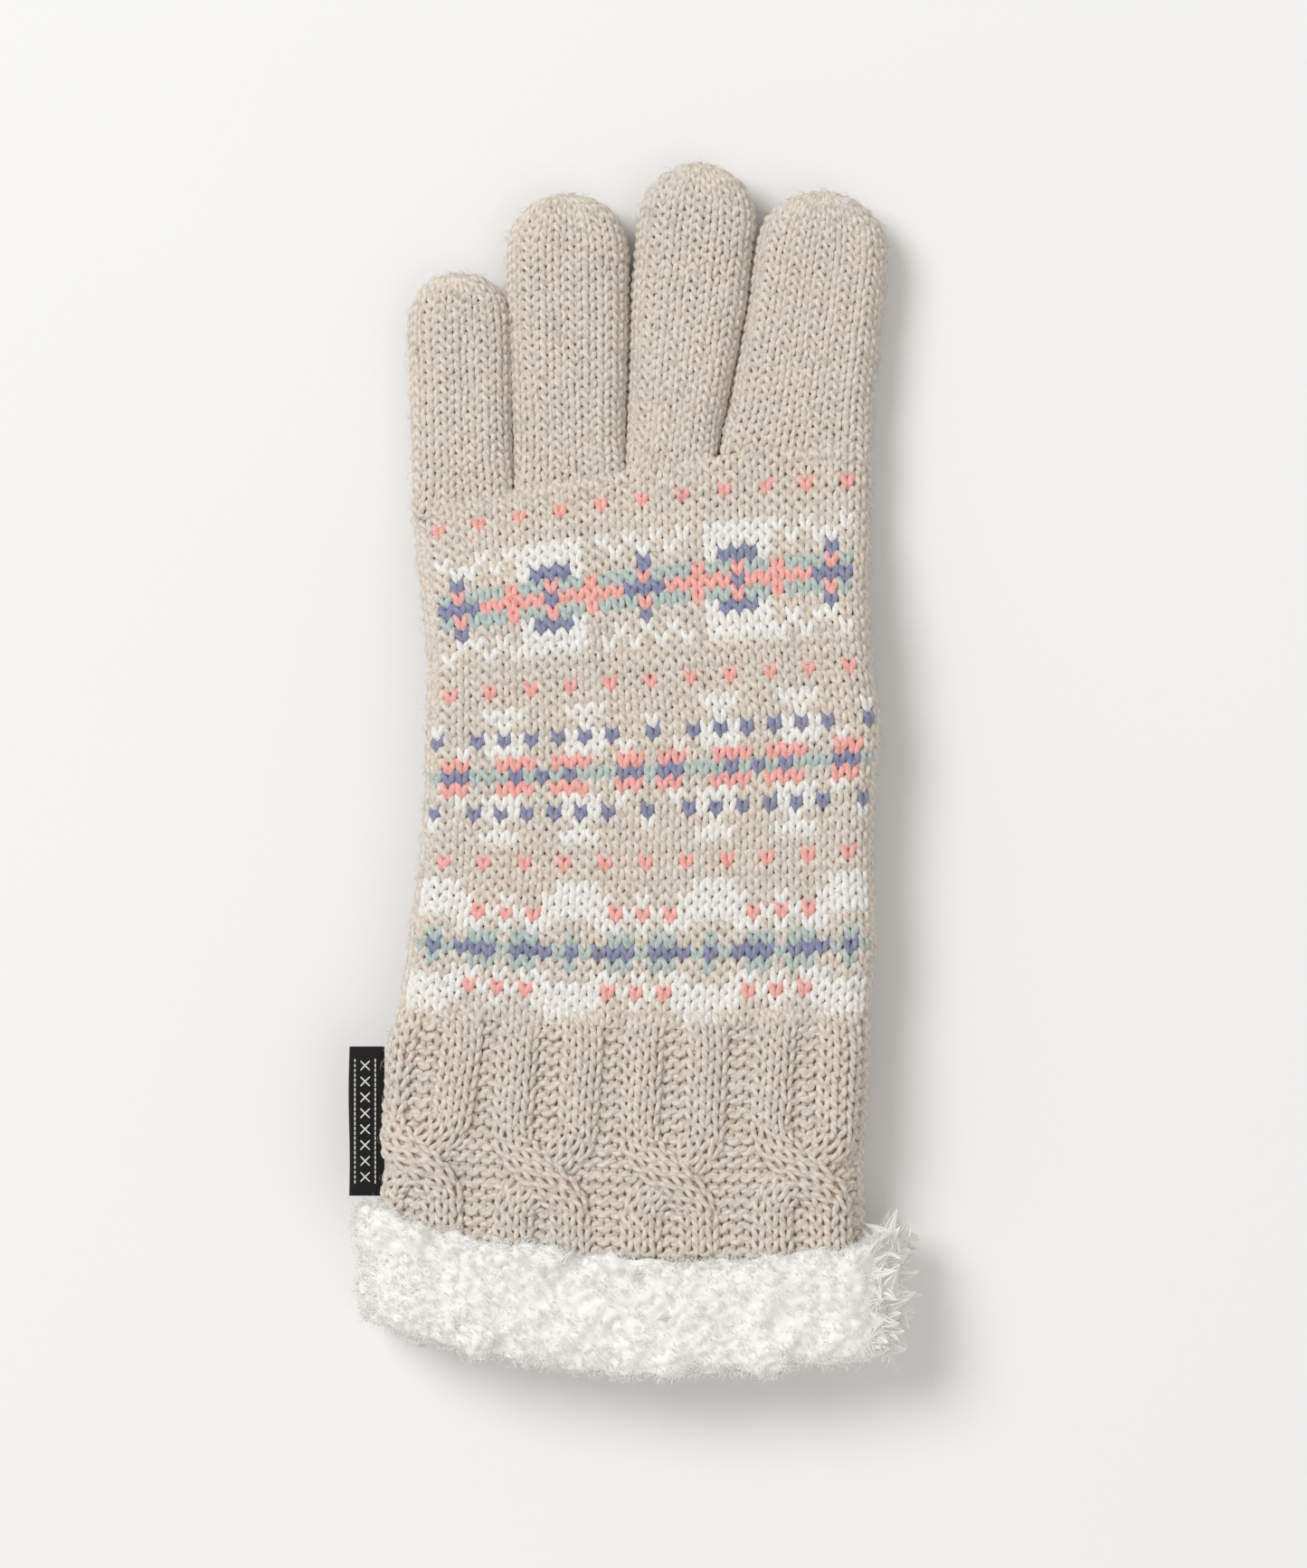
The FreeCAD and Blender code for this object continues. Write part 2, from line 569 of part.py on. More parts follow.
def edge_cut(body, name, left_y, low_y, right_y, outer_y):
    """Cut a curved edge: everything from an arc through three points out to outer_y."""
    half = size["trim_width"] / 2
    sketch = new_sketch(body, f"{name}_outline", "XY_Plane")
    left = Vector(-half.value, left_y.value, 0)
    right = Vector(half.value, right_y.value, 0)
    low = Vector(size["trim_low_x"].value, low_y.value, 0)
    curve = sketch.addGeometry(Part.Arc(left, low, right))
    wide = half.value
    far = outer_y.value
    right_side = sketch.addGeometry(line((wide, right_y.value), (wide, far)))
    far_side = sketch.addGeometry(line((wide, far), (-wide, far)))
    left_side = sketch.addGeometry(line((-wide, far), (-wide, left_y.value)))
    sketch.addConstraint(Sketcher.Constraint("Coincident", curve, 2, right_side, 1))
    sketch.addConstraint(Sketcher.Constraint("Coincident", right_side, 2, far_side, 1))
    sketch.addConstraint(Sketcher.Constraint("Coincident", far_side, 2, left_side, 1))
    sketch.addConstraint(Sketcher.Constraint("Coincident", left_side, 2, curve, 1))
    sketch.addConstraint(Sketcher.Constraint("Vertical", right_side))
    sketch.addConstraint(Sketcher.Constraint("Vertical", left_side))
    sketch.addConstraint(Sketcher.Constraint("Horizontal", far_side))
    mark = sketch.addGeometry(Part.Point(low))
    sketch.toggleConstruction(mark)
    sketch.addConstraint(Sketcher.Constraint("PointOnObject", mark, 1, curve))
    dimension(sketch, "DistanceX", (-1, 1, curve, 2), half, "right_x")
    dimension(sketch, "DistanceX", (curve, 1, -1, 1), half, "left_x")
    dimension(sketch, "DistanceX", (-1, 1, mark, 1), size["trim_low_x"], "low_x")
    dimension(sketch, "DistanceY", (curve, 1, -1, 1), -left_y, "left_y")
    dimension(sketch, "DistanceY", (curve, 2, -1, 1), -right_y, "right_y")
    dimension(sketch, "DistanceY", (mark, 1, -1, 1), -low_y, "low_y")
    dimension(sketch, "DistanceY", (far_side, 1, -1, 1), -outer_y, "outer_y")
    return cut_through(body, name, sketch)


def make_trim():
    """The fleece band outside the cuff, its facing inside the cuff and the stitching between."""
    gap = size["skin_gap"]
    cuff_half = size["cuff_width"] / 2
    cuff_depth = size["cuff_depth"] / 2
    wall = size["knit_wall"]
    centre = size["cuff_centre_x"]
    outer_y = size["trim_bottom_y"] - 5
    top_y = size["trim_top_left_y"] + 1

    trim = new_body("fleece_trim")
    outline = new_sketch(trim, "trim_outline", "XZ_Plane", up=trim_level, along=-top_y)
    add_stadium(outline, size["trim_width"] / 2, trim_level, "outer")
    pad(trim, "trim_band", outline, top_y - size["trim_bottom_y"] + 1)
    above = -top_y - 1
    sleeve = new_sketch(trim, "trim_sleeve_outline", "XZ_Plane", across=centre, up=trim_level, along=above)
    add_stadium(sleeve, cuff_half + gap, cuff_depth + gap, "sleeve")
    pocket = trim.newObject("PartDesign::Pocket", "trim_sleeve")
    pocket.Profile = sleeve
    depth = top_y + 1 - size["cuff_end_y"] + gap
    pocket.Length = depth.value
    pocket.setExpression("Length", depth.formula)
    pocket.Reversed = True
    before = trim.Shape.Volume
    doc.recompute()
    if trim.Shape.Volume > before - 0.01:
        raise RuntimeError("fleece_trim: the sleeve cut nothing")
    mouth = new_sketch(trim, "trim_mouth_outline", "XZ_Plane", across=centre, up=trim_level)
    add_stadium(mouth, cuff_half - wall, cuff_depth - wall, "mouth")
    cut_through(trim, "trim_mouth", mouth)
    left_y = size["trim_left_y"]
    right_y = size["trim_right_y"]
    edge_cut(trim, "trim_lower_edge", left_y, size["trim_bottom_y"], right_y, outer_y)
    edge_cut(trim, "trim_upper_edge", size["trim_top_left_y"], size["trim_top_y"],
             size["trim_top_right_y"], top_y + 1)

    lining = new_body("fleece_lining")
    half = cuff_half - wall - gap
    depth = cuff_depth - wall - gap
    outline = ring_sketch(lining, "lining_outline", half, depth, size["lining_wall"],
                          across=centre, up=trim_level, along=-size["lining_top_y"])
    pad(lining, "lining_band", outline, size["lining_length"])

    stitching = new_body("hem_stitching")
    half = half - size["lining_wall"]
    depth = depth - size["lining_wall"]
    start = size["stitch_y"] + size["stitch_band"] / 2
    outline = ring_sketch(stitching, "stitch_outline", half, depth, size["stitch_thread"],
                          across=centre, up=trim_level, along=-start)
    pad(stitching, "stitch_line", outline, size["stitch_band"])


def make_label():
    """The folded label in the outer seam: two layers that meet in a fold at the free edge."""
    length = size["label_root_x"] - size["label_left_x"]
    level = (palm_level + trim_level) / 2
    label = new_body("woven_label")
    outline = box_sketch(label, "label_outline", "XZ_Plane", length, size["label_thickness"],
                         across=-length / 2)
    pad(label, "label_layers", outline, size["label_length"])
    slot_length = length - size["label_fold"]
    slot = box_sketch(label, "label_slot_outline", "XZ_Plane", slot_length, size["label_slot"],
                      across=-slot_length / 2)
    cut_through(label, "label_slot_cut", slot)
    place(label, size["label_root_x"], size["label_top_y"], level)


def make_glove():
    hand = hand_stations()
    cuff = cuff_stations()
    make_panel("back_of_hand", hand, upper=True)
    palm = make_panel("palm_panel", hand, upper=False)
    make_thumb_opening(palm)
    make_seam("hand_outer_seam", hand, -1)
    make_seam("hand_inner_seam", hand, 1)
    make_fingers()
    make_thumb()
    make_panel("cuff_back", cuff, upper=True)
    make_panel("cuff_palm", cuff, upper=False)
    above_lining = cuff[:2]
    make_seam("cuff_outer_seam", above_lining, -1)
    make_seam("cuff_inner_seam", above_lining, 1)
    make_trim()
    make_label()


def write_parts():
    """Check the whole document, then write one file for each sub-part."""
    doc.recompute()
    for item in doc.Objects:
        if "Invalid" in item.State or "Error" in item.State:
            raise RuntimeError(f"{item.Label} failed: {item.State}")
    bodies = [item for item in doc.Objects if item.TypeId == "PartDesign::Body"]
    for body in bodies:
        if body.Shape.isNull() or not body.Shape.isValid() or len(body.Shape.Solids) != 1:
            raise RuntimeError(f"{body.Label} is not one sound solid")
    os.makedirs("parts", exist_ok=True)
    for body in bodies:
        body.Shape.exportStep(f"parts/{body.Label}.step")
        box = body.Shape.BoundBox
        print(f"{body.Label:22s} {body.Shape.Volume:9.0f} mm3  x {box.XMin:7.2f} {box.XMax:7.2f}"
              f"  y {box.YMin:7.2f} {box.YMax:7.2f}  z {box.ZMin:6.2f} {box.ZMax:6.2f}")
    print(len(bodies), "parts")


make_glove()
write_parts()
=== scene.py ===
"""Left-hand knitted glove: every stitch of yarn, the fleece trim, the label and a small studio."""

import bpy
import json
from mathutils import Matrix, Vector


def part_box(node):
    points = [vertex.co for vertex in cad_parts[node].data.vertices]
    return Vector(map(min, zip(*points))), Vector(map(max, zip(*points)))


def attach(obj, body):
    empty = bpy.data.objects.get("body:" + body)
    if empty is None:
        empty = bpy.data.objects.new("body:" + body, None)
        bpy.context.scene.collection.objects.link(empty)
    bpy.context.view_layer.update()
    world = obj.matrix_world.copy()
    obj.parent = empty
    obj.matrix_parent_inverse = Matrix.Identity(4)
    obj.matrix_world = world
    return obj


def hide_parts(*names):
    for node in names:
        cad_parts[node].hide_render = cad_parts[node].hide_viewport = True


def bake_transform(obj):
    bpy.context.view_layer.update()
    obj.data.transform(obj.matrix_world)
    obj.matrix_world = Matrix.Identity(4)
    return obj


bl_info = {
    "name": "Knitted glove",
    "version": (1, 0, 0),
    "blender": (4, 5, 0),
    "location": "View3D > Sidebar > Glove",
    "description": "Knits a glove stitch by stitch round its packed model, and sets up a studio",
    "category": "Add Mesh",
}

import bpy
import json
import math
import numpy as np

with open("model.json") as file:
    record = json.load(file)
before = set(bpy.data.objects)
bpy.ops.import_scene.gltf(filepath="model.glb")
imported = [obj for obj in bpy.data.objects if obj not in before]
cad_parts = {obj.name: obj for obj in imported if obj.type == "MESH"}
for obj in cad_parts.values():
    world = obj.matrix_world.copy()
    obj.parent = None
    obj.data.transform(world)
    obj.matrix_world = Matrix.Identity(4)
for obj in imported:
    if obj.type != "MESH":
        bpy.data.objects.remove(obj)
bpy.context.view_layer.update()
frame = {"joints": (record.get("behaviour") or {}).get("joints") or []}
MM = 0.001
YARN_SIDES = 8

# ---------------------------------------------------------------- sizes and colours


def linear(red, green, blue):
    """A display colour, 0 to 1, as the linear colour that a shader takes."""
    return tuple(value / 12.92 if value <= 0.04045 else ((value + 0.055) / 1.055) ** 2.4
                 for value in (red, green, blue))


def colour(name, description, *display):
    return bpy.props.FloatVectorProperty(
        name=name, description=description, subtype="COLOR", size=3, min=0.0, max=1.0,
        default=linear(*display))


def length(name, description, millimetres):
    return bpy.props.FloatProperty(
        name=name, description=description, unit="LENGTH", default=millimetres * MM)


def share(name, description, value):
    return bpy.props.FloatProperty(name=name, description=description, default=value, min=0.0, max=4.0)


class GloveYarn(bpy.types.PropertyGroup):
    """Yarn and gauge."""
    radius: length("Yarn radius", "Half the thickness of the two-ply yarn", 0.77)
    lift: length("Loop depth", "How far the legs of a stitch stand out of the fabric's middle", 0.42)
    palm_course: length("Palm course", "Height of a loop on the hand and the cuff", 2.67)
    finger_course: length("Finger course", "Height of a row of stitches on a finger", 2.05)
    lean: share("Leg lean", "How far the two legs of a stitch lean apart, in radians of a wale", 1.45)
    ply_depth: share("Ply depth", "Depth of the groove between the yarn's two plies", 0.12)
    ply_pitch: length("Ply pitch", "Length of yarn in which the plies turn once", 4.4)
    samples: bpy.props.IntProperty(
        name="Samples", description="Steps along the yarn in one stitch", default=16, min=8, max=40)
    seed: bpy.props.IntProperty(name="Seed", description="Seed for all uneven stitches", default=7)


class GloveColours(bpy.types.PropertyGroup):
    """The five yarns, the fleece and the label."""
    oatmeal: colour("Oatmeal", "Main yarn", 0.872, 0.842, 0.80)
    white: colour("White", "White pattern yarn", 0.93, 0.925, 0.91)
    coral: colour("Coral", "Pink pattern yarn", 0.945, 0.71, 0.675)
    sage: colour("Sage", "Green pattern yarn", 0.745, 0.79, 0.77)
    slate: colour("Slate", "Blue pattern yarn", 0.56, 0.575, 0.675)
    fleece: colour("Fleece", "Trim and inner facing", 0.97, 0.965, 0.95)
    label: colour("Label", "Woven label", 0.035, 0.035, 0.04)
    floor: colour("Floor", "Studio floor", 0.938, 0.938, 0.936)


YARNS = ("oatmeal", "white", "coral", "sage", "slate")
YARN_KEYS = ".wcgs"

# ---------------------------------------------------------------- the chart

CHART_REACH = 17
DOTS = "".join("c" if wale % 3 == 0 else "." for wale in range(CHART_REACH))
STAR_EDGE = [".w.w.wwwwww.w..w.", "w.w..wwwww.w.ww..", "s....wsssw....s..", "cgggcggcggcgggcg."]
STAR_MIDDLE = "sscccccscccccsss."
TULIP_EDGE = ["....www...www....", "w....w.....w....w", "s..swsws.swsws..s",
              "..w.www...www.w..", ".cc..ccc.ccc..cc."]
TULIP_MIDDLE = "gssgggsgsgsgggssg"
LATTICE_EDGE = ["....www.......www", "w..wwwww..w..wwww", "cwcwwwwwcwcwcwwww",
                "w.ww...ww.w.ww...", ".gg..g..gg.gg..g."]
LATTICE_MIDDLE = "gsssgsgsssgsssgsg"
CHART_MIDDLES = (7, 21, 35)
DOT_ROWS = (0, 14, 28)


def make_chart():
    """Row number to yarn letters, from the centre wale outwards; the first row is at the fingers."""
    chart = {row: DOTS for row in DOT_ROWS}
    bands = ((STAR_EDGE, STAR_MIDDLE), (TULIP_EDGE, TULIP_MIDDLE), (LATTICE_EDGE, LATTICE_MIDDLE))
    for middle, (edge, centre) in zip(CHART_MIDDLES, bands):
        chart[middle] = centre
        for step, letters in enumerate(reversed(edge), start=1):
            chart[middle - step] = letters
            chart[middle + step] = letters
    return chart


CHART = make_chart()
HAND_WALES = 2 * CHART_REACH + 1
LAST_HAND_ROW = 40
HAND_ROWS = range(-2, LAST_HAND_ROW + 1)
CUFF_ROWS = range(LAST_HAND_ROW + 1, LAST_HAND_ROW + 21)
CUFF_ROW = 2.6
BAND_STARTS = (14, 29)


def chart_yarns(row):
    """The yarn of each wale of the back of the hand in one row, from the outer seam."""
    yarns = np.zeros(HAND_WALES, dtype=np.int32)
    letters = CHART.get(row, "." * CHART_REACH)
    for offset, letter in enumerate(letters):
        yarns[CHART_REACH - offset] = YARN_KEYS.index(letter)
        yarns[CHART_REACH + offset] = YARN_KEYS.index(letter)
    return yarns


# ---------------------------------------------------------------- places taken from the frame


def box_mm(node):
    low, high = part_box(node)
    return np.array(low) / MM, np.array(high) / MM


def joint(name):
    return next(item for item in frame["joints"] if item["name"] == name)


def joint_spot(name):
    return np.array(joint(name)["pos_m"]) / MM


HAND_HIGH = box_mm("back_of_hand")[1]
PALM_LOW = box_mm("palm_panel")[0]
TRIM_LOW, TRIM_HIGH = box_mm("fleece_trim")
THUMB_LOW, THUMB_HIGH = box_mm("thumb_base")
WRIST = joint_spot("wrist")
FRONT_Y = HAND_HIGH[1]
SKIN = 0.72


def blend_steps(y, knots, values):
    """Smooth interpolation through knots given from low to high."""
    y = np.clip(y, knots[0], knots[-1])
    index = np.clip(np.searchsorted(knots, y, side="right") - 1, 0, len(knots) - 2)
    knots = np.asarray(knots, dtype=float)
    values = np.asarray(values, dtype=float)
    part = (y - knots[index]) / (knots[index + 1] - knots[index])
    part = part * part * (3 - 2 * part) * 0.5 + part * 0.5
    return values[index] + (values[index + 1] - values[index]) * part


# The outline from the trim to the fingers: y, outer side, inner side.
OUTLINE = [
    (-110.0, -49.6, 48.5), (-96.0, -49.6, 48.5), (-83.0, -49.5, 47.7), (-65.0, -48.6, 48.8),
    (-55.0, -48.2, 49.2), (-47.0, -46.9, 49.5), (-35.0, -45.1, 50.5), (-18.0, -42.8, 49.8),
    (-3.0, -41.8, 50.2), (8.0, -41.5, 51.5), (25.0, -41.3, 49.6), (38.0, -42.7, 49.0),
    (47.5, -43.9, 49.5), (60.0, -44.6, 50.0), (72.0, -44.6, 50.0),
]
PROFILE_Y = [row[0] for row in OUTLINE]
PROFILE_MIDDLE = [(row[1] + row[2]) / 2 for row in OUTLINE]
PROFILE_HALF_WIDTH = [(row[2] - row[1]) / 2 for row in OUTLINE]
DEPTH_Y = [-105.0, -92.0, -57.0, -51.0, 31.0, 56.0, 68.0]
HALF_DEPTHS = [8.9, 8.6, 5.95, 5.75, 5.75, 5.75, 5.75]
LEVELS = [14.0, 14.0, 14.7, 14.85, 14.85, 8.25, 8.25]
CROWN = 0.8


def profile(y, values):
    return blend_steps(y, PROFILE_Y, values)


def half_depth_at(y):
    return np.interp(y, DEPTH_Y, HALF_DEPTHS)


def level_at(y):
    return np.interp(y, DEPTH_Y, LEVELS)


# ---------------------------------------------------------------- curved fabric


def half_ring(q, half_width, half_depth, corner):
    """Across and up along the upper half of a rounded rectangle, q from 0 at one side to 1."""
    side = half_depth - corner
    turn = corner * math.pi / 2
    flat = 2 * (half_width - corner)
    along = q * (2 * side + 2 * turn + flat)
    flip = along > side + turn + flat / 2
    along = np.where(flip, 2 * side + 2 * turn + flat - along, along)
    angle = np.clip((along - side) / corner, 0, math.pi / 2)
    across = -half_width + corner * (1 - np.cos(angle)) + np.clip(along - side - turn, 0, None)
    up = np.clip(along, 0, side) + corner * np.sin(angle)
    return np.where(flip, -across, across), up


def full_ring(q, half_width, half_depth, corner):
    """The whole rounded rectangle: over the top from the left side and back underneath."""
    q = q % 1.0
    over = q < 0.5
    across, up = half_ring(np.where(over, 2 * q, 2 - 2 * q), half_width, half_depth, corner)
    return across, np.where(over, up, -up)


class Cloth:
    """A curved sheet, from a function of (place across, course), that yarn is laid on."""

    def __init__(self, shape, courses, wales, closed, fine=3):
        self.closed = closed
        self.wales = wales
        self.first = courses[0] - 2.0
        self.last = courses[1] + 2.0
        self.count_across = wales * fine
        self.count_along = int(math.ceil((self.last - self.first) * fine)) + 1
        across = np.linspace(0.0, 1.0, self.count_across + 1)
        along = np.linspace(self.first, self.last, self.count_along)
        grid_across, grid_along = np.meshgrid(across, along)
        self.points = shape(grid_across, grid_along)
        step_across = np.gradient(self.points, axis=1)
        if closed:
            wrap = self.points[:, 1] - self.points[:, -2]
            step_across[:, 0] = wrap / 2
            step_across[:, -1] = wrap / 2
        step_along = np.gradient(self.points, axis=0)
        normal = np.cross(step_across, step_along)
        size = np.linalg.norm(normal, axis=-1, keepdims=True)
        self.normals = normal / np.maximum(size, 1e-9)

    def at(self, wale, course):
        """Points and normals at places counted in wales and courses."""
        across = wale / self.wales
        across = across % 1.0 if self.closed else np.clip(across, 0.0, 1.0)
        column = across * self.count_across
        line = (np.clip(course, self.first, self.last) - self.first) / (self.last - self.first)
        line = line * (self.count_along - 1)
        left = np.clip(np.floor(column).astype(int), 0, self.count_across - 1)
        low = np.clip(np.floor(line).astype(int), 0, self.count_along - 2)
        right_part = (column - left)[..., None]
        high_part = (line - low)[..., None]
        result = []
        for grid in (self.points, self.normals):
            bottom = grid[low, left] * (1 - right_part) + grid[low, left + 1] * right_part
            top = grid[low + 1, left] * (1 - right_part) + grid[low + 1, left + 1] * right_part
            result.append(bottom * (1 - high_part) + top * high_part)
        points, normals = result
        return points, normals / np.maximum(np.linalg.norm(normals, axis=-1, keepdims=True), 1e-9)


# ---------------------------------------------------------------- meshes


def new_piece(name, points, quads, materials, slots=None, strand=None):
    """A mesh object from arrays in millimetres."""
    mesh = bpy.data.meshes.new(name)
    points = np.asarray(points, dtype=np.float32).reshape(-1, 3) * MM
    quads = np.asarray(quads, dtype=np.int32).reshape(-1, 4)
    mesh.vertices.add(len(points))
    mesh.vertices.foreach_set("co", points.ravel())
    mesh.loops.add(quads.size)
    mesh.loops.foreach_set("vertex_index", quads.ravel())
    mesh.polygons.add(len(quads))
    mesh.polygons.foreach_set("loop_start", np.arange(0, quads.size, 4, dtype=np.int32))
    mesh.polygons.foreach_set("use_smooth", np.ones(len(quads), dtype=bool))
    for material in materials:
        mesh.materials.append(material)
    if slots is not None:
        mesh.polygons.foreach_set("material_index", np.asarray(slots, dtype=np.int32).ravel())
    if strand is not None:
        layer = mesh.attributes.new("strand", "FLOAT_VECTOR", "POINT")
        layer.data.foreach_set("vector", np.asarray(strand, dtype=np.float32).ravel())
    mesh.update(calc_edges=True)
    piece = bpy.data.objects.new(name, mesh)
    bpy.context.scene.collection.objects.link(piece)
    return piece


def unit(vectors):
    return vectors / np.maximum(np.linalg.norm(vectors, axis=-1, keepdims=True), 1e-9)


def strand_tubes(paths, ups, radii, sides, closed, twist=0.0, depth=0.0):
    """Tubes round many paths at once: points, quads and fibre coordinates.

    paths and ups are (strands, steps, 3) and radii is (strands, steps)."""
    strands, steps, _ = paths.shape
    if closed:
        ahead = np.roll(paths, -1, axis=1)
        behind = np.roll(paths, 1, axis=1)
        tangent = unit(ahead - behind)
        pieces = np.linalg.norm(paths - behind, axis=-1)
    else:
        tangent = unit(np.gradient(paths, axis=1))
        pieces = np.linalg.norm(np.diff(paths, axis=1, prepend=paths[:, :1]), axis=-1)
    travelled = np.cumsum(pieces, axis=1)
    if closed:
        whole = travelled[:, -1:] + 1e-9
        turns = np.round(whole * twist / (2 * math.pi))
        angle_rate = turns * 2 * math.pi / whole
    else:
        angle_rate = np.full((strands, 1), twist)
    side = unit(np.cross(tangent, ups))
    top = np.cross(side, tangent)
    around = np.arange(sides) * 2 * math.pi / sides
    turned = around[None, None, :] - (travelled * angle_rate)[..., None]
    reach = radii[..., None] * (1 + depth * np.cos(2 * turned))
    points = (paths[:, :, None, :]
              + (reach * np.cos(around))[..., None] * side[:, :, None, :]
              + (reach * np.sin(around))[..., None] * top[:, :, None, :])
    spans = steps if closed else steps - 1
    step = np.arange(spans)
    corner = np.arange(sides)
    next_step = (step + 1) % steps
    next_corner = (corner + 1) % sides
    first = step[:, None] * sides + corner
    second = step[:, None] * sides + next_corner
    third = next_step[:, None] * sides + next_corner
    fourth = next_step[:, None] * sides + corner
    block = np.stack([first, fourth, third, second], axis=-1).reshape(-1, 4)
    offsets = np.arange(strands) * steps * sides
    quads = block[None] + offsets[:, None, None]
    travel = np.broadcast_to(travelled[..., None], turned.shape)
    strand = np.stack([travel, np.cos(turned), np.sin(turned)], axis=-1)
    return points, quads, strand


def yarn_settings():
    return bpy.context.scene.glove_yarn


def inner_layer(cloth, courses, wale_range, depth):
    """A thin sheet behind the loops, so that the gaps between them show the inside of the fabric; its darker
    colour is painted shade.
    """
    columns = np.linspace(wale_range[0], wale_range[1], 2 * (wale_range[1] - wale_range[0]) + 1)
    lines = np.arange(min(courses) - 0.5, max(courses) + 0.51, 0.5)
    wales, rows = np.meshgrid(columns, lines)
    points, normals = cloth.at(wales * 0.9999, rows)
    points = points - normals * depth
    count = len(columns)
    corner = (np.arange(len(lines) - 1)[:, None] * count + np.arange(count - 1)[None]).ravel()
    quads = np.stack([corner, corner + 1, corner + count + 1, corner + count], axis=-1)
    return points.reshape(-1, 3), quads


def carried_yarns(cloth, courses, yarns, wale_range, random):
    """The pattern yarns where they pass behind the stitches of another yarn."""
    parts = []
    wales = np.linspace(wale_range[0], wale_range[1], 3 * (wale_range[1] - wale_range[0]) + 1)
    for course, row in zip(courses, yarns):
        for slot in sorted(set(row) - {0}):
            sway = 0.28 * np.sin(wales * 2.1 + random.uniform(0, 2 * math.pi))
            points, normals = cloth.at(wales, course + sway)
            paths = (points - normals * 0.45)[None]
            tube, quads, strand = strand_tubes(paths, normals[None], np.full(paths.shape[:2], 0.32), 5, False)
            parts.append((tube, quads, strand, np.full(quads.shape[0] * quads.shape[1], slot)))
    return parts


def loose_hairs(points, normals, slots, count, random):
    """Fine fibres that stand off the yarn: paths, widths and yarn slots."""
    rows, steps, _ = points.shape
    row = random.integers(0, rows, count)
    step = random.integers(0, steps, count)
    start = points[row, step]
    normal = normals[row, step]
    drift = unit(random.normal(0.0, 1.0, (count, 3)))
    drift = unit(drift - normal * np.sum(drift * normal, axis=-1, keepdims=True))
    bend = random.normal(0.0, 1.0, (count, 3)) * 0.5
    size = random.uniform(1.0, 3.0, (count, 1))
    rise = random.uniform(0.15, 1.05, (count, 1))
    part = np.linspace(0.0, 1.0, 5)[None, :, None]
    paths = (start[:, None] + normal[:, None] * (0.45 + rise[:, None] * np.sin(part * 2.4))
             + drift[:, None] * (size[:, None] * part) + bend[:, None] * part ** 2 * size[:, None] * 0.4)
    widths = np.full((count, 5), 0.042) * np.linspace(1.0, 0.5, 5)[None]
    ups = np.broadcast_to(normal[:, None], paths.shape)
    tube, quads, strand = strand_tubes(paths, ups, widths, 3, False)
    stitch = np.minimum(step // max(1, steps // slots.shape[1]), slots.shape[1] - 1)
    return tube, quads, strand, np.repeat(slots[row, stitch], quads.shape[1])


def knit(name, cloth, courses, wale_range, yarns, materials, purl=False, height=0.0, course_size=None,
         backing=0.45, hairs=2.0, thin=1.0):
    """Rows of loops on a cloth. courses are row numbers, and yarns holds a yarn for each stitch."""
    yarn = yarn_settings()
    course_size = course_size or yarn.palm_course / MM
    samples = yarn.samples
    radius = yarn.radius / MM * thin
    lift = yarn.lift / MM
    reach = (0.42 * course_size + 0.74) / course_size
    start, stop = wale_range
    stitches = stop - start
    courses = np.asarray(courses, dtype=float)
    steps = stitches * samples + (0 if cloth.closed else 1)
    turn = np.arange(steps) * 2 * math.pi / samples
    random = np.random.default_rng(yarn.seed + len(name) * 31 + int(abs(courses[0]) * 7))
    knots = np.arange(stitches + 1)
    place = turn / (2 * math.pi)

    def uneven(amount):
        values = random.normal(0.0, amount, (len(courses), stitches + 1))
        if cloth.closed:
            values[:, -1] = values[:, 0]
        return np.stack([np.interp(place, knots, row) for row in values])

    wale = start + place + yarn.lean * np.sin(2 * turn) / (2 * math.pi)
    if not cloth.closed:
        wale = np.clip(wale, start, stop)
    wales = wale[None] + uneven(0.035)
    lines = courses[:, None] - reach * np.cos(turn)[None] + uneven(0.05)
    side = 1.0 if purl else -1.0
    out = side * lift * np.cos(2 * turn)[None] * (1 + uneven(0.08)) + height + uneven(0.07)
    points, normals = cloth.at(wales, lines)
    points = points + normals * out[..., None]
    radii = radius * (1 + uneven(0.05))
    if not cloth.closed:
        ends = np.minimum(np.arange(steps), np.arange(steps)[::-1])
        radii = radii * np.clip(ends / 2.0, 0.08, 1.0)
    twist = 2 * math.pi / (yarn.ply_pitch / MM)
    tube, quads, strand = strand_tubes(points, normals, radii, YARN_SIDES, cloth.closed, twist,
                                       yarn.ply_depth)
    spans = steps if cloth.closed else steps - 1
    stitch = np.minimum(np.arange(spans) // samples, stitches - 1)
    slots = np.repeat(np.asarray(yarns)[:, stitch], YARN_SIDES, axis=1)
    parts = [(tube, quads, strand, slots)]
    if hairs:
        count = int(hairs * len(courses) * stitches)
        parts.append(loose_hairs(points, normals, np.asarray(yarns), count, random))
    if not cloth.closed:
        parts += carried_yarns(cloth, courses, yarns, wale_range, random)
    if backing is not None:
        # The sheet takes the last slot, yarn_inside, whose darker browns are painted shade in the gaps
        # between loops.
        sheet, faces = inner_layer(cloth, courses, wale_range, backing - height)
        parts.append((sheet, faces, np.zeros((len(sheet), 3)), np.full(len(faces), len(YARNS))))
    return join_parts(name, parts, materials)


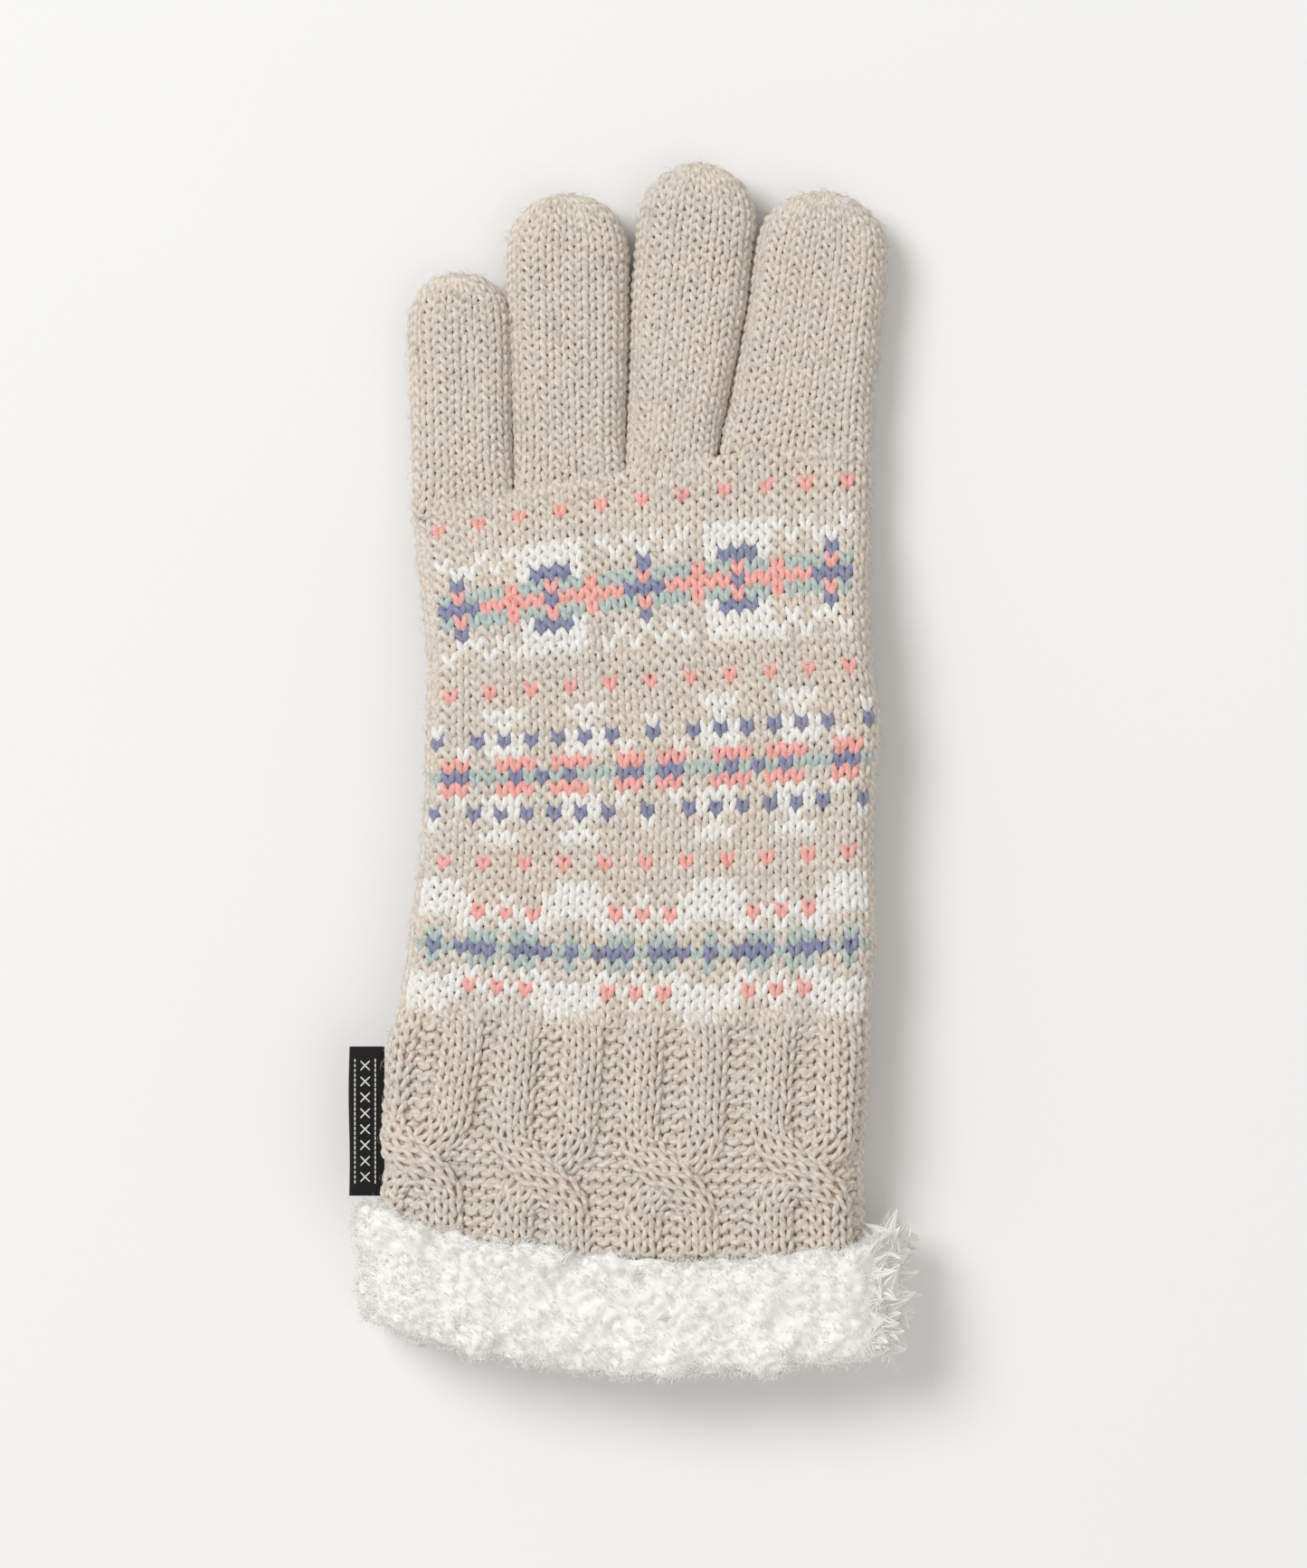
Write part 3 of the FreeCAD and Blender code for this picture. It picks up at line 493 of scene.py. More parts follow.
def join_parts(name, parts, materials):
    """One mesh from several sets of points, quads, fibre coordinates and material slots."""
    points, quads, strands, slots = [], [], [], []
    total = 0
    for part_points, part_quads, part_strands, part_slots in parts:
        part_points = np.asarray(part_points).reshape(-1, 3)
        points.append(part_points)
        quads.append(np.asarray(part_quads).reshape(-1, 4) + total)
        strands.append(np.asarray(part_strands).reshape(-1, 3))
        slots.append(np.asarray(part_slots).ravel())
        total += len(part_points)
    return new_piece(name, np.concatenate(points), np.concatenate(quads), materials,
                     np.concatenate(slots), np.concatenate(strands))


# ---------------------------------------------------------------- materials


def socket(tree, name, way, kind, default=None):
    made = tree.interface.new_socket(name=name, in_out=way, socket_type=kind)
    if default is not None:
        made.default_value = default
    return made


def math_node(tree, operation, *values):
    """A Math node. Each value is a number or a socket to link."""
    node = tree.nodes.new("ShaderNodeMath")
    node.operation = operation
    for index, value in enumerate(values):
        if isinstance(value, (int, float)):
            node.inputs[index].default_value = value
        else:
            tree.links.new(value, node.inputs[index])
    return node.outputs[0]


def noise(tree, vector, scale, detail, roughness=0.6):
    node = tree.nodes.new("ShaderNodeTexNoise")
    node.inputs["Detail"].default_value = detail
    node.inputs["Roughness"].default_value = roughness
    if isinstance(scale, (int, float)):
        node.inputs["Scale"].default_value = scale
    else:
        tree.links.new(scale, node.inputs["Scale"])
    tree.links.new(vector, node.inputs["Vector"])
    return node.outputs["Fac"]


def map_range(tree, value, low, high, new_low, new_high):
    node = tree.nodes.new("ShaderNodeMapRange")
    node.interpolation_type = "SMOOTHSTEP"
    tree.links.new(value, node.inputs["Value"])
    for name, number in (("From Min", low), ("From Max", high), ("To Min", new_low), ("To Max", new_high)):
        node.inputs[name].default_value = number
    return node.outputs[0]


def mix_colour(tree, factor, first, second, blend="MIX"):
    node = tree.nodes.new("ShaderNodeMix")
    node.data_type = "RGBA"
    node.blend_type = blend
    for value, name in ((factor, 0), (first, 6), (second, 7)):
        if isinstance(value, bpy.types.NodeSocket):
            tree.links.new(value, node.inputs[name])
        else:
            node.inputs[name].default_value = value
    return node.outputs[2]


def fibre_group():
    """Masks for spun yarn: light and dark fibres along the twist, the groove, and slow heather."""
    tree = bpy.data.node_groups.new("Spun fibres", "ShaderNodeTree")
    socket(tree, "Fibre scale", "INPUT", "NodeSocketFloat", 3.0)
    socket(tree, "Heather scale", "INPUT", "NodeSocketFloat", 260.0)
    socket(tree, "Patch scale", "INPUT", "NodeSocketFloat", 110.0)
    for name in ("Light fibres", "Dark fibres", "Groove", "Heather", "Patches", "Height"):
        socket(tree, name, "OUTPUT", "NodeSocketFloat")
    entry = tree.nodes.new("NodeGroupInput")
    out = tree.nodes.new("NodeGroupOutput")
    strand = tree.nodes.new("ShaderNodeAttribute")
    strand.attribute_name = "strand"
    parts = tree.nodes.new("ShaderNodeSeparateXYZ")
    tree.links.new(strand.outputs["Vector"], parts.inputs[0])
    slow = math_node(tree, "MULTIPLY", parts.outputs[0], 0.32)
    joined = tree.nodes.new("ShaderNodeCombineXYZ")
    for source, target in ((slow, 0), (parts.outputs[1], 1), (parts.outputs[2], 2)):
        tree.links.new(source, joined.inputs[target])
    streaks = noise(tree, joined.outputs[0], entry.outputs["Fibre scale"], 4.0, 0.7)
    coordinates = tree.nodes.new("ShaderNodeTexCoord")
    heather = noise(tree, coordinates.outputs["Object"], entry.outputs["Heather scale"], 3.0)
    patches = noise(tree, coordinates.outputs["Object"], entry.outputs["Patch scale"], 2.0)
    tree.links.new(map_range(tree, patches, 0.36, 0.64, 0.0, 1.0), out.inputs["Patches"])
    square = math_node(tree, "MULTIPLY", parts.outputs[1], parts.outputs[1])
    ply = math_node(tree, "SUBTRACT", math_node(tree, "MULTIPLY", square, 2.0), 1.0)
    # The groove between the two plies: it lowers the bump and, in the yarn materials, darkens the colour as
    # painted shade.
    groove = map_range(tree, ply, -1.0, 0.1, 1.0, 0.0)
    tree.links.new(map_range(tree, streaks, 0.5, 0.72, 0.0, 1.0), out.inputs["Light fibres"])
    tree.links.new(map_range(tree, streaks, 0.28, 0.47, 1.0, 0.0), out.inputs["Dark fibres"])
    tree.links.new(groove, out.inputs["Groove"])
    tree.links.new(heather, out.inputs["Heather"])
    height = math_node(tree, "SUBTRACT", streaks, math_node(tree, "MULTIPLY", groove, 0.5))
    tree.links.new(height, out.inputs["Height"])
    return tree


def new_material(name, roughness, sheen, specular=0.25):
    material = bpy.data.materials.new(name)
    material.use_nodes = True
    shader = material.node_tree.nodes["Principled BSDF"]
    shader.inputs["Roughness"].default_value = roughness
    shader.inputs["Sheen Weight"].default_value = sheen
    shader.inputs["Sheen Roughness"].default_value = 0.5
    shader.inputs["Specular IOR Level"].default_value = specular
    return material, material.node_tree, shader


def bump(tree, shader, height, strength, distance):
    node = tree.nodes.new("ShaderNodeBump")
    node.inputs["Strength"].default_value = strength
    node.inputs["Distance"].default_value = distance * MM
    tree.links.new(height, node.inputs["Height"])
    tree.links.new(node.outputs[0], shader.inputs["Normal"])


def shade(tint, factor):
    return tuple(min(1.0, part * factor) for part in tint) + (1.0,)


def yarn_material(name, tint, dark, light, heather):
    """Spun yarn: a base colour with lighter and darker fibres, and painted shade darkening the groove between
    the plies.
    """
    material, tree, shader = new_material(f"yarn_{name}", 0.88, 0.12)
    group = tree.nodes.new("ShaderNodeGroup")
    group.node_tree = bpy.data.node_groups["Spun fibres"]
    group.inputs["Fibre scale"].default_value = 2.6
    group.inputs["Heather scale"].default_value = 900.0
    warm = (tint[0] * (1 + heather * 0.25), tint[1] * (1 - heather * 0.05), tint[2] * (1 - heather * 0.4))
    cool = (tint[0] * (1 - heather * 0.4), tint[1] * (1 - heather * 0.2), tint[2] * (1 + heather * 0.2))
    tone = mix_colour(tree, group.outputs["Patches"], warm + (1.0,), cool + (1.0,))
    fleck = mix_colour(tree, map_range(tree, group.outputs["Heather"], 0.35, 0.65, 0.0, 1.0),
                       (1 - heather,) * 3 + (1.0,), (1 + heather,) * 3 + (1.0,))
    base = mix_colour(tree, 1.0, tone, fleck, "MULTIPLY")
    lit = mix_colour(tree, math_node(tree, "MULTIPLY", group.outputs["Light fibres"], 0.55), base, light)
    worn = mix_colour(tree, math_node(tree, "MULTIPLY", group.outputs["Dark fibres"], 0.6), lit, dark)
    # Painted shade: the groove between the two plies is darkened towards the dark colour.
    with_painted_groove_shade = mix_colour(tree, math_node(tree, "MULTIPLY", group.outputs["Groove"], 0.3), worn, dark)
    tree.links.new(with_painted_groove_shade, shader.inputs["Base Color"])
    bump(tree, shader, group.outputs["Height"], 0.7, 0.16)
    return material


def yarn_materials():
    """The five yarns, in the order of YARNS, then the inside sheet's painted shade."""
    if "yarn_oatmeal" in bpy.data.materials:
        return [bpy.data.materials[f"yarn_{name}"] for name in YARNS + ("inside",)]
    fibre_group()
    tints = bpy.context.scene.glove_colours
    # Each yarn's dark colour serves both its dark fibres and the painted shade in the groove between plies;
    # the light colour is its pale fibres.
    looks = {
        "oatmeal": (linear(0.66, 0.565, 0.46), linear(0.95, 0.93, 0.88), 0.07),
        "white": (linear(0.82, 0.79, 0.74), linear(1.0, 1.0, 0.99), 0.03),
        "coral": (linear(0.89, 0.55, 0.5), linear(1.0, 0.84, 0.81), 0.05),
        "sage": (linear(0.52, 0.6, 0.58), linear(0.87, 0.91, 0.88), 0.05),
        "slate": (linear(0.38, 0.39, 0.53), linear(0.74, 0.75, 0.84), 0.06),
    }
    made = [yarn_material(name, tuple(getattr(tints, name)), dark + (1.0,), light + (1.0,), heather)
            for name, (dark, light, heather) in looks.items()]
    return made + [painted_shade_inside_material()]


def painted_shade_inside_material():
    """The inside of the fabric, seen between the loops, in browns darker than the yarn: painted shade for the
    gaps.
    """
    material, tree, shader = new_material("yarn_inside", 0.95, 0.0)
    group = tree.nodes.new("ShaderNodeGroup")
    group.node_tree = bpy.data.node_groups["Spun fibres"]
    group.inputs["Heather scale"].default_value = 1400.0
    tint = mix_colour(tree, map_range(tree, group.outputs["Heather"], 0.3, 0.7, 0.0, 1.0),
                      linear(0.74, 0.61, 0.5) + (1.0,), linear(0.87, 0.76, 0.66) + (1.0,))
    tree.links.new(tint, shader.inputs["Base Color"])
    return material


# ---------------------------------------------------------------- the hand


def dots_line(u):
    """The first row of dots, u from -1 at the outer seam to 1 at the inner seam."""
    return 56.6 + 5.8 * u - 1.8 * u * u


def lattice_line(u):
    """The middle of the lowest band."""
    return -37.2 + 2.2 * u * u


def front_line(u):
    """Where the hand's knitting ends and the fingers start."""
    return dots_line(u) + 4.6 + 1.6 * np.clip(u + 0.2, 0.0, 1.0)


def hand_y(u, row):
    """How far up the hand a chart row lies. Row numbers grow towards the wrist."""
    on_cuff = np.clip(row - LAST_HAND_ROW, 0, None)
    below = dots_line(u) + (lattice_line(u) - dots_line(u)) * (row - on_cuff) / CHART_MIDDLES[-1]
    below = below - on_cuff * CUFF_ROW - 1.2 * u * u * np.clip(on_cuff / 12, 0, 1)
    above = dots_line(u) - (front_line(u) - dots_line(u)) * row / 2.3
    return np.where(row < 0, above, below)


def hand_shape(upper):
    """A function for one panel of the hand, from its outer to its inner seam if upper."""
    def shape(q, course):
        place = np.clip((q - 0.5) * 2.0 * 1.07, -1.0, 1.0)
        y = hand_y(place if upper else -place, -course)
        half_width = profile(y, PROFILE_HALF_WIDTH) - SKIN
        half_depth = half_depth_at(y) - SKIN
        across, up = half_ring(q, half_width, half_depth, half_depth)
        crown = (CROWN + pucker(across, y)) * (1 - (across / half_width) ** 2)
        rise = up + (crown if upper else 0.0)
        across = across if upper else -across
        rise = rise if upper else -rise
        return np.stack([profile(y, PROFILE_MIDDLE) + across, y, level_at(y) + rise], axis=-1)
    return shape


def pucker(across, y):
    """Slight unevenness of the fabric where yarns are carried behind the pattern."""
    waves = np.sin(across / 7.3 + y / 21.0) * np.sin(y / 6.1 + across / 33.0)
    return 0.22 * waves + 0.18 * np.sin(across / 15.0 - y / 12.0)


class GLOVE_OT_hand(bpy.types.Operator):
    """Knit the patterned back of the hand and the plain palm"""
    bl_idname = "glove.hand"
    bl_label = "Hand"

    def execute(self, context):
        materials = yarn_materials()
        rows = list(HAND_ROWS)
        bands = [rows[:BAND_STARTS[0]], rows[slice(*BAND_STARTS)], rows[BAND_STARTS[1]:]]
        for upper, label, node in ((True, "back", "back_of_hand"), (False, "palm", "palm_panel")):
            cloth = Cloth(hand_shape(upper), (-rows[-1], -rows[0]), HAND_WALES, closed=False)
            for number, band in enumerate(bands, start=1):
                yarns = [chart_yarns(row) if upper else np.zeros(HAND_WALES, dtype=int) for row in band]
                piece = knit(f"{label}_knit_{number}", cloth, [-row for row in band], (0, HAND_WALES),
                             yarns, materials, hairs=3.5 if upper else 1.0)
                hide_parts(node)
                if band is bands[-1]:
                    wrist_blend(piece)
                else:
                    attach(piece, "hand")
        return {"FINISHED"}


def wrist_blend(piece):
    """Bakes the piece's placement into its mesh; the fabric near the wrist is not tied to the hand or the
    cuff.
    """
    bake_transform(piece)


# ---------------------------------------------------------------- the fingers


FINGER_HALF_DEPTH = 5.75


class Finger:
    """One finger's line, length and hinges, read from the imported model."""

    def __init__(self, name):
        self.name = name
        knuckle = joint_spot(f"{name}_knuckle")
        middle = joint_spot(f"{name}_middle_joint")
        heading = unit((middle - knuckle)[:2])
        self.along = np.array([heading[0], heading[1], 0.0])
        self.across = np.array([heading[1], -heading[0], 0.0])
        self.level = PALM_LOW[2] + FINGER_HALF_DEPTH
        distance = (knuckle[1] - FRONT_Y) / heading[1]
        self.root = np.array([knuckle[0] - heading[0] * distance, FRONT_Y, self.level])
        self.knuckle = distance
        self.middle = distance + np.linalg.norm((middle - knuckle)[:2])
        low, high = box_mm(f"{name}_fingertip")
        self.length = (high[1] - FRONT_Y) / heading[1]

    def spot(self, distance):
        """A point on the hinge lines' height, that far along the finger."""
        return tuple((self.root + self.along * distance) * MM)


FINGER_LOOKS = {
    # wales round the finger, half width at the root and near the tip, roundness of the tip,
    # and how far the soft finger rests to the right of its stiff model at the root and at the tip
    "little": (18, 10.3, 10.75, 2.4, 0.4, 0.6),
    "ring": (20, 11.5, 12.6, 2.3, 0.5, 0.45),
    "middle": (20, 9.2, 12.1, 2.2, -0.45, 0.15),
    "index": (24, 15.3, 13.8, 2.3, -0.3, 0.0),
}


def tip_fade(distance, total, radius, power):
    """1 along the finger, falling to 0 at its end as a rounded outline."""
    part = np.clip((distance - (total - radius)) / radius, 0.0, 1.0)
    return np.maximum(1 - part ** power, 0.0) ** (1 / power)


def meridian_table(total, radius, power, first, count):
    """Even steps of fabric from first to the very end, where it turns over the tip."""
    distance = np.concatenate([np.linspace(first, total - radius, 200, endpoint=False),
                               total - radius * (1 - np.sin(np.linspace(0, math.pi / 2, 200)))])
    width = radius * tip_fade(distance, total, radius, power)
    steps = np.hypot(np.diff(distance), np.diff(width) * 0.35)
    travelled = np.concatenate([[0.0], np.cumsum(steps)])
    return np.interp(np.linspace(0, travelled[-1], count), travelled, distance)


def finger_shape(finger, first, rows, slope):
    """A function for the closed tube of one finger. Course 0 is at its root."""
    wales, root_half, tip_half, power, root_shift, tip_shift = FINGER_LOOKS[finger.name]
    table = meridian_table(finger.length, tip_half, power, first, 200)

    def shape(q, course):
        part = np.clip(course / rows, -0.08, 1.0)
        distance = np.interp(part, np.linspace(0, 1, 200), table)
        distance = distance + np.minimum(course, 0) * 1.9
        progress = np.clip((distance - first) / (finger.middle - first), 0.0, 1.0)
        shift = root_shift + (tip_shift - root_shift) * progress
        fade = tip_fade(distance, finger.length, tip_half, power)
        half_width = (root_half + (tip_half - root_half) * progress) * np.maximum(fade, 0.02) - SKIN * fade
        thick = tip_fade(distance, finger.length, tip_half, power * 1.6)
        half_depth = (FINGER_HALF_DEPTH - SKIN) * np.maximum(thick, 0.02)
        half_width = np.maximum(half_width, 0.15)
        settled = np.clip((distance - first) / 9.0, 0.0, 1.0)
        corner = np.minimum(half_depth, half_width) * (0.35 + 0.64 * settled)
        across, up = full_ring(q, half_width, half_depth, corner)
        lean = slope * across * np.clip(1 - (distance - first) / 22.0, 0.0, 1.0)
        line = distance + lean
        y = FRONT_Y + line
        level = np.where(y < FRONT_Y, level_at(y), finger.level)
        spot = finger.root + line[..., None] * finger.along + (across + shift)[..., None] * finger.across
        on_hand = CROWN * (1 - ((spot[..., 0] - 2.5) / 48.0) ** 2)
        on_finger = 0.4 * (1 - (across / np.maximum(half_width, 1)) ** 2)
        crown = on_hand + (on_finger - on_hand) * np.clip((distance - first) / 14.0, 0.0, 1.0)
        spot[..., 2] = level + up + crown * (up > 0) * fade
        return spot
    return shape


class GLOVE_OT_fingers(bpy.types.Operator):
    """Knit the four fingers, each split halfway between its two hinges"""
    bl_idname = "glove.fingers"
    bl_label = "Fingers"

    def execute(self, context):
        materials = yarn_materials()
        course = yarn_settings().finger_course / MM
        for name in FINGER_LOOKS:
            finger = Finger(name)
            wales = FINGER_LOOKS[name][0]
            u = finger.root[0] / 47.0
            slope = (5.8 - 3.6 * u) / 47.0
            first = float(front_line(u)) - FRONT_Y
            table = meridian_table(finger.length, FINGER_LOOKS[name][2], FINGER_LOOKS[name][3], first, 400)
            travelled = finger.length - first + FINGER_LOOKS[name][2] * 0.12
            rows = int(round(travelled / course))
            cloth = Cloth(finger_shape(finger, first, rows, slope), (0, rows), wales, closed=True)
            split_at = (finger.knuckle + finger.middle) / 2
            row_place = np.interp(np.arange(rows + 1) / rows, np.linspace(0, 1, 400), table)
            lower = [row for row in range(0, rows) if row_place[row] < split_at]
            upper = [row for row in range(0, rows) if row_place[row] >= split_at] + [rows - 0.35]
            for label, band in (("lower", lower), ("upper", upper)):
                yarns = np.zeros((len(band), wales), dtype=int)
                piece = knit(f"{name}_finger_{label}_knit", cloth, band, (0, wales), yarns, materials,
                             course_size=course, thin=0.87, hairs=3.0)
                if label == "lower":
                    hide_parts(f"{name}_finger_root", f"{name}_finger_base")
                    hinge_blend(piece, finger, finger.knuckle)
                else:
                    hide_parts(f"{name}_fingertip")
                    hinge_blend(piece, finger, finger.middle)
        return {"FINISHED"}


def hinge_blend(piece, finger, hinge):
    """Bakes the piece's placement into its mesh. The spots a short length on each side of the finger's hinge
    are worked out but not used.
    """
    reach = 6.5
    finger.spot(hinge - reach)
    finger.spot(hinge + reach)
    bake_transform(piece)


# ---------------------------------------------------------------- the thumb


def thumb_shape(root, heading, total, rows, half_width, level, half_depth):
    """A function for the thumb's tube, closed and rounded at both ends. Course 0 is at its root."""
    start = -half_width
    table = np.concatenate([
        start + half_width * (1 - np.cos(np.linspace(0, math.pi / 2, 120))),
        np.linspace(0.0, total - half_width, 160)[1:],
        total - half_width * (1 - np.sin(np.linspace(0, math.pi / 2, 120)))[1:]])
    width_at = half_width * np.sqrt(np.clip(1 - (np.minimum(table, 0) / half_width) ** 2, 0, 1))
    width_at = np.minimum(width_at, half_width * tip_fade(table, total, half_width, 2.2))
    travelled = np.concatenate([[0.0], np.cumsum(np.hypot(np.diff(table), 0.4 * np.diff(width_at)))])
    side = np.array([heading[1], -heading[0], 0.0])

    def shape(q, course):
        distance = np.interp(np.clip(course / rows, 0.0, 1.0) * travelled[-1], travelled, table)
        width = np.interp(distance, table, width_at)
        fade = np.clip(width / half_width, 0.02, 1.0)
        depth = (half_depth - SKIN) * fade ** 0.45
        across, up = full_ring(q, np.maximum(width - SKIN * fade, 0.15), depth,
                               np.minimum(depth, np.maximum(width - SKIN, 0.15)) * 0.98)
        spot = root + distance[..., None] * heading + across[..., None] * side
        spot[..., 2] = level + up
        return spot
    return shape


THUMB_WALES = 20
THUMB_HALF_WIDTH = 11.5
THUMB_EASE = 0.5
COLLAR_WALES = 18


class GLOVE_OT_thumb(bpy.types.Operator):
    """Knit the thumb that lies under the palm, and the ring that joins it on"""
    bl_idname = "glove.thumb"
    bl_label = "Thumb"

    def execute(self, context):
        materials = yarn_materials()
        swing = joint_spot("thumb_swing")
        bend = joint_spot("thumb_bend")
        heading = np.append(unit((bend - swing)[:2]), 0.0)
        level = (THUMB_LOW[2] + THUMB_HIGH[2]) / 2
        half_depth = (THUMB_HIGH[2] - THUMB_LOW[2]) / 2 - THUMB_EASE
        low, high = box_mm("thumb_tip")
        half_width = THUMB_HALF_WIDTH
        total = (high[1] - half_width - swing[1]) / heading[1] + half_width
        hinge = np.linalg.norm((bend - swing)[:2])
        root = np.array([swing[0], swing[1], level])
        course = yarn_settings().finger_course / MM
        rows = int(round((total + half_width) / course))
        wales = THUMB_WALES
        cloth = Cloth(thumb_shape(root, heading, total, rows, half_width, level, half_depth), (0, rows),
                      wales, closed=True)
        split = int(round(rows * (half_width + hinge - 7.0) / (total + half_width)))
        ends = {"lower": [0.35] + list(range(1, split)), "upper": list(range(split, rows)) + [rows - 0.35]}
        for label, band in ends.items():
            yarns = np.zeros((len(band), wales), dtype=int)
            piece = knit(f"thumb_{label}_knit", cloth, band, (0, wales), yarns, materials,
                         course_size=course, hairs=1.0, thin=0.87)
            if label == "lower":
                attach(piece, "thumb_base")
                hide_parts("thumb_base")
            else:
                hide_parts("thumb_tip")
                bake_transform(piece)
        low, high = box_mm("thumb_collar")
        middle = (low + high) / 2
        reach = (high[0] - low[0]) / 2 - 0.7

        def collar(q, course):
            turn = -q * 2 * math.pi
            return np.stack([middle[0] + reach * np.cos(turn), middle[1] + reach * np.sin(turn),
                             low[2] + 0.6 + course * 1.2], axis=-1)
        cloth = Cloth(collar, (0, 1), COLLAR_WALES, closed=True)
        ring = knit("thumb_collar_knit", cloth, [0, 1], (0, COLLAR_WALES),
                    np.zeros((2, COLLAR_WALES), dtype=int), materials, course_size=1.4, backing=None,
                    hairs=0.0)
        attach(ring, "hand")
        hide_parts("thumb_collar")
        return {"FINISHED"}


# ---------------------------------------------------------------- the cable cuff

CROSSING_REACH = 8.5
CROSSING_SWAP = 1.88
CABLE_ARCH = 1.25
OVER_LIFT = 1.15
UNDER_LIFT = -0.35
CABLE_WIDTH = 7.7
# Pairs of ribs: middle near the hand, middle at the crossing and y of the crossing.
CABLES = [(-40.2, -44.2, -79.0), (-15.7, -17.9, -82.5), (9.9, 8.4, -83.0), (37.0, 35.3, -81.5)]
CABLE_GAP = 6.7
CABLE_TOP = -50.5
CABLE_END = -101.5


def cable_place(y, near, crossing, cross_y, side):
    """Across position of a rib's middle. side is -1 for the rib that starts on the left, or 1."""
    down = np.clip((CABLE_TOP - y) / (CABLE_TOP - cross_y), 0.0, 1.0)
    middle = near + (crossing - near) * down
    turn = np.clip((cross_y + CROSSING_REACH - y) / (2 * CROSSING_REACH), 0.0, 1.0)
    swap = 1 - CROSSING_SWAP * turn * turn * (3 - 2 * turn)
    lean = 0.6 * np.clip((y + 56) / 6.0, 0.0, 1.0)
    return middle + side * (CABLE_GAP - lean) * swap


def cable_shape(upper, near, crossing, cross_y, side):
    """A function for one rib: three wales wide, arched, and above its partner if it starts left."""
    def shape(q, course):
        y = CABLE_TOP - course * -CUFF_ROW
        x = cable_place(y, near, crossing, cross_y, side)
        slope = (cable_place(y - 0.5, near, crossing, cross_y, side) - x) / 0.5
        size = np.hypot(slope, 1.0)
        along_x = slope / size
        along_y = -1.0 / size
        offset = (q - 0.5) * CABLE_WIDTH
        px = x - offset * along_y
        py = y + offset * along_x
        half_width = profile(py, PROFILE_HALF_WIDTH) - SKIN
        half_depth = half_depth_at(py) - SKIN
        middle = profile(py, PROFILE_MIDDLE)
        flat = half_width - half_depth
        past = np.clip(np.abs(px - middle) - flat, 0.0, None) / half_depth
        way = np.sign(px - middle)
        outward = np.stack([way * np.sin(past), 0 * past, np.cos(past)], axis=-1)
        core = np.clip(px - middle, -flat, flat)
        near_cross = np.exp(-((py - cross_y) / 5.0) ** 2)
        arch = CABLE_ARCH * (1 - (2 * q - 1) ** 2)
        rise = np.clip((CABLE_TOP + 1.0 - py) / 7.0, 0.0, 1.0)
        stack = OVER_LIFT if side < 0 else UNDER_LIFT
        lift = half_depth + (0.35 + arch) * rise + stack * near_cross + 0.4 * (1 - (core / half_width) ** 2)
        reach = outward * lift[..., None]
        reach[..., 2] *= 1 if upper else -1
        return np.stack([middle + core + reach[..., 0], py, level_at(py) + reach[..., 2]], axis=-1)
    return shape


class GLOVE_OT_cuff(bpy.types.Operator):
    """Knit the cuff: a purl ground with crossing pairs of three-wale ribs"""
    bl_idname = "glove.cuff"
    bl_label = "Cable cuff"

    def execute(self, context):
        materials = yarn_materials()
        rows = list(CUFF_ROWS)
        for upper, label, node in ((True, "back", "cuff_back"), (False, "palm", "cuff_palm")):
            ground = Cloth(hand_shape(upper), (-rows[-1], -rows[0]), HAND_WALES, closed=False)
            yarns = np.zeros((len(rows), HAND_WALES), dtype=int)
            piece = knit(f"cuff_{label}_purl", ground, [-row for row in rows], (0, HAND_WALES), yarns,
                         materials, purl=True, height=-0.35, hairs=1.5 if upper else 0.5)
            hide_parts(node)
            wrist_blend(piece)
            count = int((CABLE_TOP - CABLE_END) / CUFF_ROW)
            courses = [-step for step in range(count)]
            for number, (near, crossing, cross_y) in enumerate(CABLES, start=1):
                for side, way in ((1, "under"), (-1, "over")):
                    shape = cable_shape(upper, near, crossing, cross_y, side)
                    cloth = Cloth(flipped(shape, upper), (courses[-1], 0), 3, closed=False, fine=6)
                    rib = knit(f"cuff_{label}_cable_{number}_{way}", cloth, courses, (0, 3),
                               np.zeros((count, 3), dtype=int), materials, height=0.25, backing=0.35,
                               hairs=3.0 if upper else 1.0, thin=0.86)
                    wrist_blend(rib)
        return {"FINISHED"}


def flipped(shape, upper):
    """The palm side runs the other way across, so that its outside faces down."""
    def turned(q, course):
        return shape(q if upper else 1 - q, course)
    return turned


# ---------------------------------------------------------------- the side seams


SEAM_RUNS = (("hand", 57.0, -51.0), ("cuff", -52.0, -103.0))


class GLOVE_OT_seams(bpy.types.Operator):
    """Knit the two edge wales that join the back and the palm on each side"""
    bl_idname = "glove.seams"
    bl_label = "Side seams"

    def execute(self, context):
        materials = yarn_materials()
        for side, label in ((-1, "outer"), (1, "inner")):
            for part, top, bottom in SEAM_RUNS:
                count = int((top - bottom) / CUFF_ROW)

                def seam(q, course):
                    y = top + course * CUFF_ROW
                    half_width = profile(y, PROFILE_HALF_WIDTH) - SKIN
                    turn = (q - 0.5) * 1.5
                    tuck = 0.9 * np.clip((y - 50.0) / 7.0, 0.0, 1.0)
                    x = profile(y, PROFILE_MIDDLE) + side * (half_width - 2.0 - tuck + 2.15 * np.cos(turn))
                    return np.stack([x, y, level_at(y) + side * -3.2 * np.sin(turn)], axis=-1)
                cloth = Cloth(seam, (-count, 0), 2, closed=False, fine=6)
                piece = knit(f"{part}_{label}_seam_knit", cloth, [-step for step in range(count)], (0, 2),
                             np.zeros((count, 2), dtype=int), materials, hairs=2.0)
                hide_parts(f"{part}_{label}_seam")
                wrist_blend(piece)
        return {"FINISHED"}


# ---------------------------------------------------------------- fleece

TRIM_TOP = [(-58.0, -88.3), (8.0, -99.3), (58.0, -94.0)]
TRIM_BOTTOM = [(-58.0, -111.0), (8.0, -125.0), (58.0, -118.5)]


